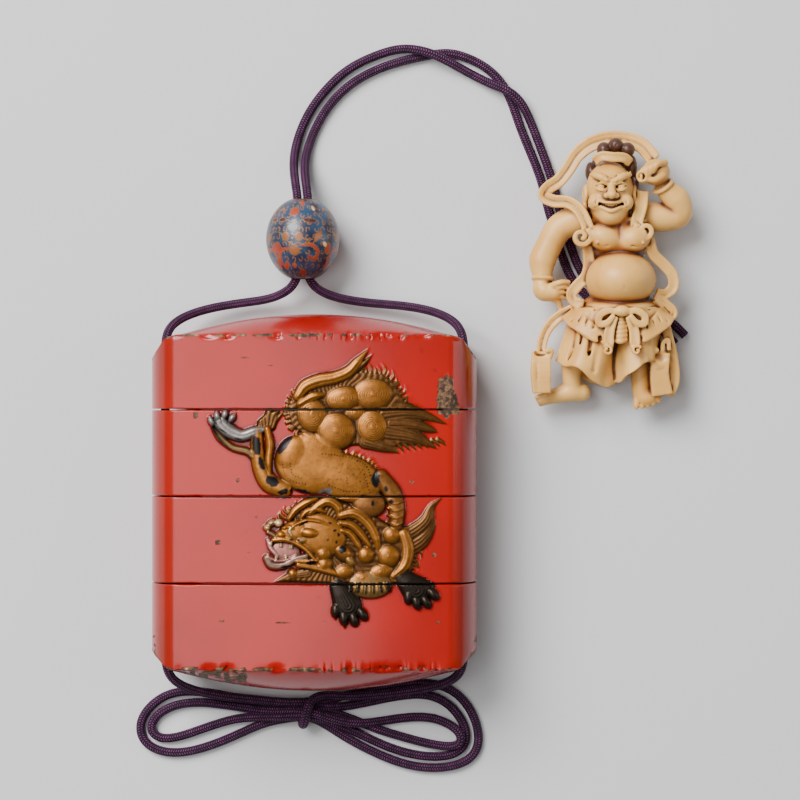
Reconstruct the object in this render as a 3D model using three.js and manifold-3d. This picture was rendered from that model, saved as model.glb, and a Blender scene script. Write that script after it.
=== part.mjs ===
// A Japanese inro of red lacquer in four sections, with its silk cord, cloisonne bead (ojime) and
// carved ivory toggle (netsuke), lying on its back on a level surface.
// Millimetres. X runs across the case, Y from its foot to its lid, Z up from the surface.
import * as THREE from "three";
import { mergeVertices } from "three/addons/utils/BufferGeometryUtils.js";
import Module from "manifold-3d";

const wasm = await Module();
wasm.setup();

// ---- Driving dimensions of the case
const MID = 12.25; // height of the case's middle plane
const JOIN_GAP = 0.3; // open line between two sections
const RISER_HEIGHT = 8; // how far each section's riser enters the one above
const FLOOR_THICK = 1.8;
const SEAMS = { lid: 19.6, upper: 1.55, middle: -16.6 }; // lower edge of each section
const TOP = { crest: 39.7, fall: 0.0054, ridge: 35.2, shoulder: 30.9, shoulderY: 34.6, slope: 1.33 };
const FOOT = { crest: 39.7, fall: 0.0049, ridge: 34.5, shoulder: 30.3, shoulderY: 34.5, slope: 0.9 };
const CEILING = 32.8;
const LOWEST_FLOOR = -33.2;
const CHANNEL_X = 31.5; // cord channels in the rounded ends
const CHANNEL_RADIUS = 1.45;

// Cross-sections: half width, half thickness at the middle, fall of the face, width of the round end
const OUTER = { width: 34.25, face: 12.4, crown: 1.5, end: 6.3 };
const SKIRT = { width: 27.75, face: 10.15, crown: 1.1, end: 5 };
const RISER_OUT = { width: 27.4, face: 9.8, crown: 1.1, end: 5 };
const RISER_IN = { width: 26.2, face: 8.6, crown: 1.1, end: 4.5 };
const RELIEF_BED = { width: 33, face: 11.7, crown: 1.5, end: 5.2 }; // how deep the relief is rooted

const FACE_STEPS = 8; // facets across a face
const END_STEPS = 3; // facets on each quarter of a rounded end
const DOME_STEPS = 4; // facets from the front of a domed end to its back

// ---- Cord, bead and toggle
const CORD_RADIUS = 0.95;
const CORD_SIDES = 8;
const BEAD = { centre: [-2.6, 55.8, 7.75], radius: 7.8, length: 17.8, bore: 2.45 };
const TOGGLE = [62.4, 48.6, 0]; // the point on the surface under the toggle's middle

const RED = new THREE.MeshStandardMaterial({ color: 0xc8321f, roughness: 0.28, metalness: 0 });
const IVORY = new THREE.MeshStandardMaterial({ color: 0xe6cc98, roughness: 0.42, metalness: 0 });
const ENAMEL = new THREE.MeshStandardMaterial({ color: 0x1d4a70, roughness: 0.3, metalness: 0 });
const SILK = new THREE.MeshStandardMaterial({ color: 0x36173a, roughness: 0.85, metalness: 0 });

// ---- Solids: closed geometry to a manifold and back
function solidFrom(positions, indices) {
  const loose = new THREE.BufferGeometry();
  loose.setAttribute("position", new THREE.Float32BufferAttribute(positions, 3));
  if (indices) loose.setIndex(indices);
  const merged = mergeVertices(loose, 1e-4);
  const faces = [];
  const index = merged.index.array;
  for (let i = 0; i < index.length; i += 3) {
    const [a, b, c] = [index[i], index[i + 1], index[i + 2]];
    if (a !== b && b !== c && c !== a) faces.push(a, b, c);
  }
  const vertProperties = new Float32Array(merged.attributes.position.array);
  const triVerts = new Uint32Array(faces);
  return new wasm.Manifold(new wasm.Mesh({ numProp: 3, vertProperties, triVerts }));
}

function solid(geometry) {
  return solidFrom(geometry.attributes.position.array, geometry.index && [...geometry.index.array]);
}

function meshOf(name, manifold, material) {
  const { vertProperties, triVerts } = manifold.getMesh();
  const geometry = new THREE.BufferGeometry();
  geometry.setAttribute("position", new THREE.Float32BufferAttribute(vertProperties, 3));
  geometry.setIndex([...triVerts]);
  geometry.computeVertexNormals();
  const mesh = new THREE.Mesh(geometry, material);
  mesh.name = name;
  return mesh;
}

const joined = (parts) => parts.reduce((whole, part) => whole.add(part));

function slab(x0, x1, y0, y1, z0, z1) {
  const box = new THREE.BoxGeometry(x1 - x0, y1 - y0, z1 - z0);
  return solid(box.translate((x0 + x1) / 2, (y0 + y1) / 2, (z0 + z1) / 2));
}

// ---- Shared forms
function ellipsoid([x, y, z], [rx, ry, rz], turn, across, rows) {
  const ball = new THREE.SphereGeometry(1, across, rows);
  return solid(ball.rotateX(Math.PI / 2).scale(rx, ry, rz).rotateZ(turn).translate(x, y, z));
}

// A round-ended limb from a to b, with a radius at each end.
function limb(a, b, radiusA, radiusB = radiusA, sides = 5) {
  const from = new THREE.Vector3(...a);
  const along = new THREE.Vector3(...b).sub(from);
  const length = along.length();
  const profile = [];
  for (let k = 0; k <= 2; k++) {
    const angle = (k / 2) * (Math.PI / 2);
    profile.push(new THREE.Vector2(radiusA * Math.sin(angle), -radiusA * Math.cos(angle)));
  }
  for (let k = 0; k <= 2; k++) {
    const angle = (k / 2) * (Math.PI / 2);
    profile.push(new THREE.Vector2(radiusB * Math.cos(angle), length + radiusB * Math.sin(angle)));
  }
  profile[0].x = 0;
  profile[profile.length - 1].x = 0;
  const turn = new THREE.Quaternion().setFromUnitVectors(new THREE.Vector3(0, 1, 0), along.normalize());
  const geometry = new THREE.LatheGeometry(profile, sides).applyQuaternion(turn);
  return solid(geometry.translate(from.x, from.y, from.z));
}

const chain = (points, radii) =>
  joined(points.slice(1).map((point, k) => limb(points[k], point, radii[k], radii[k + 1])));

// A flat band along a curve that lies mostly level: width(t) across, thick high, centred on the curve.
function band(points, width, thick, steps) {
  const curve = new THREE.CatmullRomCurve3(points.map((p) => new THREE.Vector3(...p)), false, "centripetal");
  const widthAt = typeof width === "function" ? width : () => width;
  const positions = [];
  const faces = [];
  for (let k = 0; k <= steps; k++) {
    const t = k / steps;
    const at = curve.getPointAt(t);
    const tangent = curve.getTangentAt(t);
    const side = new THREE.Vector3(-tangent.y, tangent.x, 0).normalize();
    side.multiplyScalar(Math.max(widthAt(t), 0.1) / 2);
    const corners = [[1, -1], [1, 1], [-1, 1], [-1, -1]];
    for (const [s, h] of corners) {
      positions.push(at.x + side.x * s, at.y + side.y * s, at.z + (h * thick) / 2);
    }
  }
  for (let k = 0; k < steps; k++) {
    for (let c = 0; c < 4; c++) {
      const d = (c + 1) % 4;
      const [a, b] = [k * 4 + c, k * 4 + d];
      faces.push(a, b, b + 4, a, b + 4, a + 4);
    }
  }
  const end = steps * 4;
  faces.push(2, 1, 0, 3, 2, 0, end, end + 1, end + 2, end, end + 2, end + 3);
  return solidFrom(positions, faces);
}

// ---- The case: every level of it is one section outline, and a wall joins two outlines
function halfThickness(x, { width, face, crown, end }) {
  const straight = width - end;
  const past = Math.max(0, Math.abs(x) - straight) / end;
  const rise = face - crown * Math.min(1, Math.abs(x) / straight) ** 2;
  return rise * Math.sqrt(Math.max(0, 1 - past ** 2));
}

function stations({ width, end }) {
  const straight = width - end;
  const list = [];
  for (let k = 0; k < END_STEPS; k++) {
    list.push(-straight - end * Math.cos(((k / END_STEPS) * Math.PI) / 2));
  }
  for (let k = 0; k <= FACE_STEPS; k++) list.push(straight * ((2 * k) / FACE_STEPS - 1));
  for (let k = END_STEPS - 1; k >= 0; k--) {
    list.push(straight + end * Math.cos(((k / END_STEPS) * Math.PI) / 2));
  }
  return list;
}

// A point of an outline: u is 1 on the front, -1 on the back, and the back is ground flat at Z 0.
function outlinePoint(section, x, u, level) {
  const z = Math.max(u * halfThickness(x, section), -MID);
  return [x, typeof level === "function" ? level(x, u) : level, MID + z];
}

function outlineRing({ section, level }) {
  const xs = stations(section);
  const front = xs.map((x) => outlinePoint(section, x, 1, level));
  const back = xs.slice(1, -1).map((x) => outlinePoint(section, x, -1, level));
  return [...front, ...back.reverse()];
}

// The closed solid of a list of outlines, from a first cap to a last cap.
function lofted(levels) {
  const positions = [];
  const quad = (a, b, c, d) => positions.push(...a, ...b, ...c, ...a, ...c, ...d);
  const rings = levels.map(outlineRing);
  for (let r = 1; r < rings.length; r++) {
    const [low, high] = [rings[r - 1], rings[r]];
    for (let k = 0; k < low.length; k++) {
      const next = (k + 1) % low.length;
      quad(low[k], low[next], high[next], high[k]);
    }
  }
  for (const [{ section, level }, first] of [[levels[0], true], [levels.at(-1), false]]) {
    const xs = stations(section);
    const rows = typeof level === "function" ? DOME_STEPS : 1;
    for (let i = 1; i < xs.length; i++) {
      for (let j = 0; j < rows; j++) {
        const [u0, u1] = [1 - (2 * j) / rows, 1 - (2 * (j + 1)) / rows];
        const corner = (x, u) => outlinePoint(section, x, u, level);
        const [a, b] = first ? [xs[i], xs[i - 1]] : [xs[i - 1], xs[i]];
        quad(corner(a, u0), corner(b, u0), corner(b, u1), corner(a, u1));
      }
    }
  }
  return solidFrom(positions);
}

// The domed end of the case: a ridge where it meets the wall, a crest, and shoulders at the channels.
function domeLevel({ crest, fall, ridge, shoulder, shoulderY, slope }) {
  return (x, u) => {
    const past = Math.max(0, Math.abs(x) - shoulder);
    const bevel = past > 0 ? shoulderY - slope * past : Infinity;
    const high = Math.min(crest - fall * x * x, bevel);
    const low = Math.min(high, ridge);
    return low + (high - low) * (1 - u * u);
  };
}

const topLevel = domeLevel(TOP);
const footDome = domeLevel(FOOT);
const footLevel = (x, u) => -footDome(x, u);

function riser(seam, floor) {
  return [
    { section: OUTER, level: seam - JOIN_GAP / 2 },
    { section: RISER_OUT, level: seam - JOIN_GAP / 2 },
    { section: RISER_OUT, level: seam + RISER_HEIGHT },
    { section: RISER_IN, level: seam + RISER_HEIGHT },
    { section: RISER_IN, level: floor },
  ];
}

function tray(lowSeam, highSeam) {
  const underside = lowSeam + RISER_HEIGHT + JOIN_GAP;
  return lofted([
    { section: SKIRT, level: underside },
    { section: SKIRT, level: lowSeam + JOIN_GAP / 2 },
    { section: OUTER, level: lowSeam + JOIN_GAP / 2 },
    ...riser(highSeam, underside + FLOOR_THICK),
  ]);
}

const lidShell = lofted([
  { section: SKIRT, level: CEILING },
  { section: SKIRT, level: SEAMS.lid + JOIN_GAP / 2 },
  { section: OUTER, level: SEAMS.lid + JOIN_GAP / 2 },
  { section: OUTER, level: topLevel },
]);
const lowerShell = lofted([{ section: OUTER, level: footLevel }, ...riser(SEAMS.middle, LOWEST_FLOOR)]);

const channels = joined(
  [-CHANNEL_X, CHANNEL_X].map((x) =>
    solid(new THREE.CylinderGeometry(CHANNEL_RADIUS, CHANNEL_RADIUS, 100, 8).translate(x, 0, MID)),
  ),
);

// ---- The lion in relief. It is modelled on a flat ground at Z 0, then laid on the curved front.
const mound = (x, y, rx, ry, high, turn = 0) =>
  ellipsoid([x, y, 0], [rx, ry, high], turn, rx > 3 ? 10 : 7, rx > 3 ? 6 : 4);
const ridgeBand = (points, width, high, steps = 3) =>
  band(points.map(([x, y]) => [x, y, 0]), width, 2 * high, steps);
const tapered = (width) => (t) => width * (1 - t ** 1.5);

function slabOf(outline, high) {
  const shape = new THREE.Shape(outline.map(([x, y]) => new THREE.Vector2(x, y)));
  const options = { depth: high + 1, bevelEnabled: false };
  return solid(new THREE.ExtrudeGeometry(shape, options).translate(0, 0, -1));
}

const FUR = 0.45; // height of the flat fur behind the curls
const tailFur = slabOf(
  [
    [-3.2, 23.6], [-5.1, 18.7], [-4.2, 15.6], [2, 11.6], [10, 12.4], [16.9, 10.4], [18.6, 12],
    [25.2, 11.3], [21.6, 14.4], [27.5, 16.4], [19.2, 19.6], [17.4, 25], [13.6, 27.4], [10.2, 27.1],
    [11.4, 31.9], [7, 30.4], [4.6, 27.4], [0, 26.6],
  ].reverse(),
  FUR,
);
const maneFur = slabOf(
  [
    [-4.4, -2.2], [-1, 1.2], [3.4, 1.3], [9.6, -1], [16.4, -4.4], [21.2, -4.2], [26.7, 1.4],
    [24.9, -5], [21.6, -9.4], [20.6, -14], [17.6, -17], [4, -17], [-4.6, -16], [-1.6, -11],
  ].reverse(),
  FUR,
);

// Round curls: x, y, two radii, height
const CURLS = [
  [4.8, 15.2, 4.1, 3.9, 1.55], [-0.4, 18.8, 3.1, 3.7, 1.3], [6.4, 21.9, 3.9, 2.5, 1.35],
  [12.4, 16.1, 3.3, 3.5, 1.3], [12.4, 22.8, 4.3, 3.2, 1.25], [2, -10.4, 2, 2, 1.35],
  [2.3, -12.9, 1.7, 1.5, 1.1], [11, -10.5, 1.7, 1.7, 1.25], [15.8, -10.9, 2.3, 2.4, 1.3],
  [16.4, -6.4, 1.9, 1.9, 1.25], [6.6, -13.9, 1.9, 1.5, 1.1], [10.4, -15.2, 1.9, 1.3, 1],
  [14.1, -14, 2.4, 1.5, 1.05], [-4.2, -14.4, 1, 1, 0.9], [6.5, -10.5, 2.2, 1.6, 1.2],
];
const body = [
  mound(-0.6, 8.6, 7.2, 6.4, 1.6),
  mound(7.2, 5.6, 7.4, 5, 1.5, -0.3),
  mound(11.4, 0.4, 3.2, 2.8, 1.2),
  ridgeBand([[-11.2, 14.6], [-10.6, 8], [-8, 4], [0, 3.2]], 3.2, 1.2, 5),
  ridgeBand([[-20, 17], [-14.8, 13.6], [-10.6, 14.8]], 2.8, 1.3, 4),
  ridgeBand([[-18.8, 13.6], [-15, 11.2], [-10.6, 8.4]], 1.7, 0.9, 3),
  ridgeBand([[14.6, 5.4], [17.2, 1.4], [17.4, -4.4]], 3.4, 1.25, 4),
];
const hindToes = [[-20.6, 17.9], [-19.1, 18.4], [-17.6, 18.2], [-16.5, 17.3]].map(([x, y]) =>
  mound(x, y, 0.85, 1.1, 1.3, 0.6),
);
const head = [
  mound(1.4, -6.2, 5.6, 4.4, 1.6),
  mound(-4.6, -6, 3.4, 2.4, 1.45),
  mound(-7.2, -4.4, 0.9, 0.9, 1.4),
  mound(-9.1, -4.7, 0.85, 0.8, 1.3),
  mound(-0.7, -6.2, 2.4, 1.2, 2),
  ridgeBand([[-8.4, -7.6], [-4.6, -7.9], [-0.4, -11]], 1.6, 1, 4),
  ridgeBand([[-9.8, -11.6], [-7.6, -12.7], [-1.6, -11.4]], 1.6, 1, 4),
];
const locks = [
  [[1, -0.6], [3.2, 0.4], [5.2, -1.8]], [[-3.6, -2.3], [-2, -0.5], [0, 0.8]],
  [[5.7, -2.1], [8.8, -1.9], [12, -5], [13.5, -8.9]], [[6.1, -4.6], [8.2, -5.6], [9.9, -9.2]],
  [[8.4, -4.4], [10.8, -6.2], [12, -8.3]], [[19, -6.6], [19.5, -10], [17.2, -14.4]],
].map((points) => ridgeBand(points, 1.7, 1.1));
const tailLocks = [
  ridgeBand([[-2.9, 21.6], [-0.2, 24.6], [4.1, 25.9], [8, 28.2], [11.2, 31.7]], tapered(2.8), 1.2, 5),
  ridgeBand([[15, 18], [21, 17.8], [27.2, 16.4]], tapered(2.4), 0.8),
  ridgeBand([[15, 14.6], [20.6, 13.6], [25, 11.4]], tapered(2.2), 0.8),
  ridgeBand([[-10, 15.8], [-9.8, 18.2], [-8.6, 20.6]], tapered(3), 0.8),
  ridgeBand([[18.4, -6], [22.4, -3.6], [26.4, 1.1]], tapered(2.6), 0.8),
];
const PAWS = [
  { wrist: [5.6, -17.4], palm: [7.4, -21.4], toes: [[5.1, -22], [6.5, -23.4], [8.4, -23.7], [10, -22.8]] },
  { wrist: [19.4, -15.2], palm: [21.6, -18.2], toes: [[20, -19.4], [21.5, -20.4], [23.3, -20.3], [24.7, -19]] },
];
const paws = PAWS.flatMap(({ wrist, palm, toes }) => [
  limb([...wrist, 0], [...palm, 0], 2, 2.4),
  ...toes.map(([x, y]) => mound(x, y, 0.95, 1.2, 1.5)),
]);
const breast = mound(11.9, -17, 4.4, 2.7, 1.05);

const faceFall = (x) => OUTER.crown * Math.min(1.2, Math.abs(x) / (OUTER.width - OUTER.end)) ** 2;
function onFront(flat) {
  const { vertProperties, triVerts } = flat.getMesh();
  const positions = [...vertProperties];
  for (let i = 0; i < positions.length; i += 3) {
    positions[i + 2] += MID + OUTER.face - faceFall(positions[i]);
  }
  return solidFrom(positions, [...triVerts]);
}

const lionFlat = joined([
  tailFur, maneFur, ...CURLS.map((curl) => mound(...curl)), ...body, ...hindToes, ...head, ...locks,
  ...tailLocks, ...paws, breast,
]);
const reliefBed = lofted([
  { section: RELIEF_BED, level: -60 },
  { section: RELIEF_BED, level: 60 },
]);
const lion = onFront(lionFlat).subtract(reliefBed);

function withLion(shell, low, high) {
  const share = lion.intersect(slab(-40, 40, low, high, 0, 60));
  return shell.add(share).subtract(channels);
}

const half = JOIN_GAP / 2;
const caseParts = {
  lid: withLion(lidShell, SEAMS.lid + half, 60),
  case_upper: withLion(tray(SEAMS.upper, SEAMS.lid), SEAMS.upper + half, SEAMS.lid - half),
  case_middle: withLion(tray(SEAMS.middle, SEAMS.upper), SEAMS.middle + half, SEAMS.upper - half),
  case_lower: withLion(lowerShell, -60, SEAMS.middle - half),
};

// ---- The bead: a barrel bored along Y, with a small flat where it lies
function beadSolid() {
  const { centre, radius, length, bore } = BEAD;
  const lip = Math.sqrt(1 - (bore / radius) ** 2);
  const profile = [new THREE.Vector2(bore, (-length / 2) * lip)];
  const rows = 8;
  for (let k = 0; k <= rows; k++) {
    const angle = (k / rows - 0.5) * 2 * Math.asin(lip);
    profile.push(new THREE.Vector2(radius * Math.cos(angle), (length / 2) * Math.sin(angle)));
  }
  profile.push(new THREE.Vector2(bore, (length / 2) * lip), new THREE.Vector2(bore, (-length / 2) * lip));
  const barrel = solid(new THREE.LatheGeometry(profile, 16).translate(...centre));
  return barrel.intersect(slab(-20, 20, 40, 80, 0, 30));
}

// ---- The toggle: a temple guardian carved in ivory. Its own frame has the middle of the figure at
// X 0, Y 0, and the surface it lies on at Z 0.
const ball = (at, radii, turn = 0) => ellipsoid(at, radii, turn, 8, 6);
const bead = (at, radius) => ellipsoid(at, [radius, radius, radius], 0, 5, 4);

// A ribbon end rolled up: a band along a spiral, starting at the outside.
function scroll([x, y, z], radius, start, turns, width = 1.1) {
  const points = [];
  const steps = 8;
  for (let k = 0; k <= steps; k++) {
    const angle = start + turns * 2 * Math.PI * (k / steps);
    const r = radius * (1 - (0.75 * k) / steps);
    points.push([x + r * Math.cos(angle), y + r * Math.sin(angle), z]);
  }
  return band(points, width, 2.2, 7);
}

// Cloth round a leg: rings from the hip to the hem, with folds that grow towards the hem.
function skirt({ hip, hem, hipRadii, hemRadii, folds, tilt }) {
  const sides = 12;
  const rows = 3;
  const positions = [];
  const at = (row, k) => {
    const t = row / rows;
    const angle = (k / sides) * 2 * Math.PI;
    const fold = 1 + 0.13 * t * Math.cos(folds * angle);
    const rx = THREE.MathUtils.lerp(hipRadii[0], hemRadii[0], t) * fold;
    const rz = THREE.MathUtils.lerp(hipRadii[1], hemRadii[1], t) * fold;
    const x = THREE.MathUtils.lerp(hip[0], hem[0], t) + rx * Math.cos(angle);
    const y = THREE.MathUtils.lerp(hip[1], hem[1], t) + tilt * t * Math.cos(angle);
    const z = THREE.MathUtils.lerp(hip[2], hem[2], t) + rz * Math.sin(angle);
    return [x, y, z];
  };
  for (let k = 0; k < sides; k++) {
    for (let row = 0; row < rows; row++) {
      const [a, b, c, d] = [at(row, k), at(row, k + 1), at(row + 1, k + 1), at(row + 1, k)];
      positions.push(...a, ...b, ...c, ...a, ...c, ...d);
    }
    positions.push(...hip, ...at(0, k + 1), ...at(0, k));
    positions.push(...hem, ...at(rows, k), ...at(rows, k + 1));
  }
  return solidFrom(positions);
}

const figureBody = [
  ball([2, 7.4, 7.1], [6.9, 6, 7.2]),
  ball([2.3, -1.2, 9], [7.6, 6, 9]),
  ball([2.2, -8.4, 6.6], [8.8, 5.4, 6.8]),
  ball([-1, 8.4, 11.6], [3.1, 2.6, 2.2]),
  ball([4.8, 8.6, 11.6], [3.1, 2.6, 2.2]),
  limb([1.5, 9, 8.5], [0.3, 14, 10], 3.2),
];
const figureHead = [
  ball([0, 17, 11.2], [5, 6.2, 6.2]),
  ball([0.1, 13, 13.2], [3.7, 2.8, 3.7]),
  ball([1.6, 21.8, 10], [4.3, 4, 5]),
  bead([-1, 26, 11.4], 1.5), bead([1.4, 26.6, 11.4], 1.8), bead([4.2, 25.7, 10.6], 1.8),
  band([[-2.7, 24.2, 14], [0.4, 24.8, 15], [3.6, 24, 14]], 1.9, 1.6, 4),
  ball([4.9, 16, 11], [0.9, 1.9, 1.6]), ball([-4.9, 16.4, 11], [0.8, 1.9, 1.6]),
  limb([0, 18.2, 16.4], [0, 16, 17.8], 0.7, 1.15),
  limb([-1.2, 19.2, 16.6], [-3.4, 19.9, 15.2], 0.75, 0.6), limb([1.2, 19.2, 16.6], [3.5, 19.9, 15.2], 0.75, 0.6),
  limb([-1.6, 13.7, 16], [1.7, 13.7, 16], 0.7),
];
const figureArms = [
  chain([[-7, 11.6, 7], [-14, 3.8, 6.6], [-13.9, -1.6, 7.2]], [3.1, 2.5, 1.7]),
  limb([-13.6, -3.8, 7.6], [-9.2, -4.4, 9], 2, 1.5),
  limb([-13.9, -0.3, 7.2], [-13.9, -1, 7.2], 2.3),
  chain([[8, 12.2, 7.2], [15, 12.8, 7.2], [11.4, 18.4, 9.4]], [3.1, 2.7, 1.9]),
  ball([9.7, 21.3, 10.6], [3.1, 2.9, 3]),
  limb([11.5, 18.1, 9.4], [11.2, 18.7, 9.6], 2.4),
  limb([8.6, 20.9, 11.6], [6.7, 20.3, 12.8], 1.2, 1.5),
];
const fingers = [0, 1, 2].map((k) => limb([7.8 + 1.6 * k, 22.8 - 0.6 * k, 12.6], [8.2 + 1.5 * k, 20.2, 13.2], 0.85));
const scarf = [
  band(
    [
      [9.4, 24, 9.6], [5.8, 28, 8.6], [0.4, 28.7, 7.6], [-5.7, 26.7, 7], [-8.7, 22.9, 7], [-10.4, 20, 7],
      [-13.1, 17.9, 7.4], [-13.3, 15.7, 8.4], [-10.6, 15, 9.8], [-7.6, 14.4, 10.8], [-6, 12, 11.6],
      [-4.8, 9.6, 12],
    ],
    2.5, 1.5, 15,
  ),
  scroll([-6, 7.8, 12], 1.9, 0.9, -1.2),
  band([[6.6, 16.8, 10], [6, 12.4, 11.4], [5.5, 9.6, 12]], 2.4, 1.6, 5),
  scroll([7.1, 8.4, 12], 2, 2.4, 1.2),
  band([[-4.9, 5.4, 10.4], [-4.6, 1, 10], [-6.3, -2.4, 9.6], [-8, -4.6, 9], [-6.4, -6.6, 9.6]], 2.1, 1.5, 8),
  band([[8.6, 6.6, 10.6], [9.4, 3, 10], [12, 0.6, 9], [13.6, -2.2, 8.4], [11.6, -4.6, 8.6]], 2.1, 1.5, 8),
];
const sash = [
  ball([2.3, -7.6, 7.6], [8.2, 1.9, 7.6]),
  bead([2.5, -8.4, 15], 1.5),
  ball([-1.3, -9.8, 14.2], [2.3, 1.6, 1.4], 0.4), ball([6.1, -10, 14.2], [2.3, 1.6, 1.4], -0.4),
  band([[0.4, -10, 14], [-1, -13.4, 13.6], [-1.4, -17.2, 13.6]], 1.9, 1.6, 4),
  band([[4, -10, 14], [4.6, -13.4, 13.6], [4.9, -17.2, 13.6]], 1.9, 1.6, 4),
  ball([2, -12.4, 11.4], [2, 3.4, 2.6]),
  limb([10, -5.2, 8], [13.6, -8.2, 7.4], 1.3, 1.5),
];
const skirts = [
  skirt({
    hip: [-2.4, -8, 6.8], hem: [-5.4, -22.4, 7], hipRadii: [5.6, 6.6], hemRadii: [6.2, 6.6], folds: 4, tilt: -3,
  }),
  skirt({
    hip: [6, -8, 6.8], hem: [5.4, -20.8, 7], hipRadii: [5, 6.6], hemRadii: [4.6, 6.2], folds: 4, tilt: 1.8,
  }),
];
const legs = [
  limb([-6.6, -20, 6.4], [-6.8, -24.6, 5.6], 2.2, 1.8),
  limb([-5.4, -25.6, 5], [-13.2, -26.8, 4.6], 1.9, 1.3),
  limb([6.6, -19, 6.6], [7.2, -24.4, 6.4], 2.2, 1.9),
  limb([7.4, -24.6, 6], [8.6, -27.2, 6.4], 2, 1.9),
  ...[0, 1, 2, 3].map((k) => bead([6.1 + 1.5 * k, -28.3 + 0.2 * k * k, 6.8], 1)),
];
const longRibbons = [
  band([[-7.6, -7.6, 7.6], [-11.6, -10.4, 7.4], [-13.8, -13.4, 7], [-14.6, -17.2, 7.2]], 2, 1.6, 7),
  band([[-14.4, -17, 7.4], [-14.3, -25.2, 7.6]], 4.1, 4.4, 3),
  band([[10.4, -6.6, 7.6], [12.4, -12, 7], [13.7, -18, 6.4], [14, -23.4, 6.4], [11.6, -25.4, 7]], 1.7, 2.6, 8),
  band([[11.1, -16.6, 8.8], [11, -25.6, 8.4]], 4.3, 2.8, 3),
  bead([9.4, -16.2, 9.4], 1), bead([12.4, -14.6, 9], 1.1),
];

// The groove across the toggle's back that the cord lies in.
const TAILS = {
  left: [[53.6, 58], [55, 53.4], [57.6, 47.8], [62.6, 43.6], [69, 41.2], [75.4, 39], [79.2, 35.4]],
  right: [[51.2, 58], [52.7, 52.6], [55.6, 46.4], [61.4, 41.6], [68.2, 39], [74.2, 36.8], [77, 33.6]],
};
const grooveLine = TAILS.left.map(([x, y], k) => [(x + TAILS.right[k][0]) / 2, (y + TAILS.right[k][1]) / 2, 0.7]);
const groove = band(grooveLine, 6.2, 3.6, 12);

const figure = joined([
  ...figureBody, ...figureHead, ...figureArms, ...fingers, ...scarf, ...sash, ...skirts, ...legs, ...longRibbons,
]);
const toggle = figure.translate(TOGGLE).intersect(slab(30, 100, 0, 100, 0, 40)).subtract(groove);

// ---- The cord. A route's rings stand at its own points, and its ends are in straight stretches.
class Route extends THREE.CatmullRomCurve3 {
  constructor(points) {
    super(points.map((p) => new THREE.Vector3(...p)), false, "centripetal");
  }
  getPointAt(u, target) {
    return this.getPoint(u, target);
  }
  getTangentAt(u, target) {
    return this.getTangent(u, target);
  }
}

function cordTube(points) {
  const section = new THREE.Shape();
  section.absarc(0, 0, CORD_RADIUS, 0, 2 * Math.PI, false);
  const options = { steps: points.length - 1, curveSegments: CORD_SIDES / 2, extrudePath: new Route(points) };
  return solid(new THREE.ExtrudeGeometry(section, { ...options, bevelEnabled: false }));
}

const LYING = 1; // height of the cord's middle where it lies on the surface
const onSurface = (points) => points.map(([x, y, z = LYING]) => [x, y, z]);

// From the toggle's back to the bead, then to the shoulder of the lid.
const LEFT_STRAND = onSurface([
  ...[...TAILS.left].reverse(), [52, 63.2], [51, 67.6], [49.4, 72.4], [47.6, 77.2], [45.9, 81.6],
  [44.2, 85, 2.6], [41.6, 87.6, 3.3], [37.6, 89.2, 2.2], [33, 91.6, 1.4], [28.8, 93.8, 2.6],
  [24.6, 95.8, 3.3], [18.4, 96.9, 1.8], [12.2, 95.2], [6.6, 92.3], [2, 88], [-1.5, 83.2], [-3.7, 78.2],
  [-4.7, 73.6, 2], [-4.4, 68.6, 5.6], [-3.7, 64.4, 7.6], [-3.7, 55.8, 7.75], [-3.8, 47.2, 7.6],
  [-5.8, 44.9, 6], [-9.8, 43.2, 4], [-15.4, 42.4, 3.2], [-21.4, 41.4, 4], [-26.2, 40, 6],
  [-29.6, 38.1, 9.2], [-31.2, 36, 11.6], [-31.5, 34, 12.25], [-31.5, 31.6, 12.25],
]);
const RIGHT_STRAND = onSurface([
  ...[...TAILS.right].reverse(), [49.7, 62.8], [48.7, 67.4], [47.2, 71.8], [45.2, 76.6], [43.4, 81.2],
  [42, 85.4], [40.3, 89], [37.2, 92.4], [33, 94.8], [28.4, 96.1], [23.6, 95.4], [18.2, 94.2], [12.9, 92.4],
  [8.1, 89.8], [4, 86.2], [0.9, 81.8], [-1.2, 77.2], [-2.3, 72.8, 2], [-2.1, 68.4, 5.6], [-1.5, 64.4, 7.6],
  [-1.5, 55.8, 7.75], [-1.4, 47.2, 7.6], [0.8, 44.9, 6], [4.8, 43.4, 4.2], [11, 42.4, 3.2], [18, 41.8, 3.6],
  [23.8, 40.8, 5.4], [28.4, 39, 8.4], [30.9, 36.6, 11.2], [31.5, 34, 12.25], [31.5, 31.6, 12.25],
]);
// From the foot of each channel to the knot.
const LEFT_WRAP = [
  [-31.5, -31, 12.25], [-31.5, -33.6, 12.25], [-30.7, -36.8, 10.8], [-27.6, -39.4, 7.6], [-22, -41.2, 4.8],
  [-15, -42.2, 3.5], [-9, -42.8, 3.4],
];
const RIGHT_WRAP = [
  [31.5, -31, 12.25], [31.5, -33.6, 12.25], [30.7, -36.4, 10.8], [27.4, -38.6, 8.2], [20.6, -40.3, 5.4],
  [13, -41.3, 4], [6.4, -41.7, 4],
];

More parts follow.
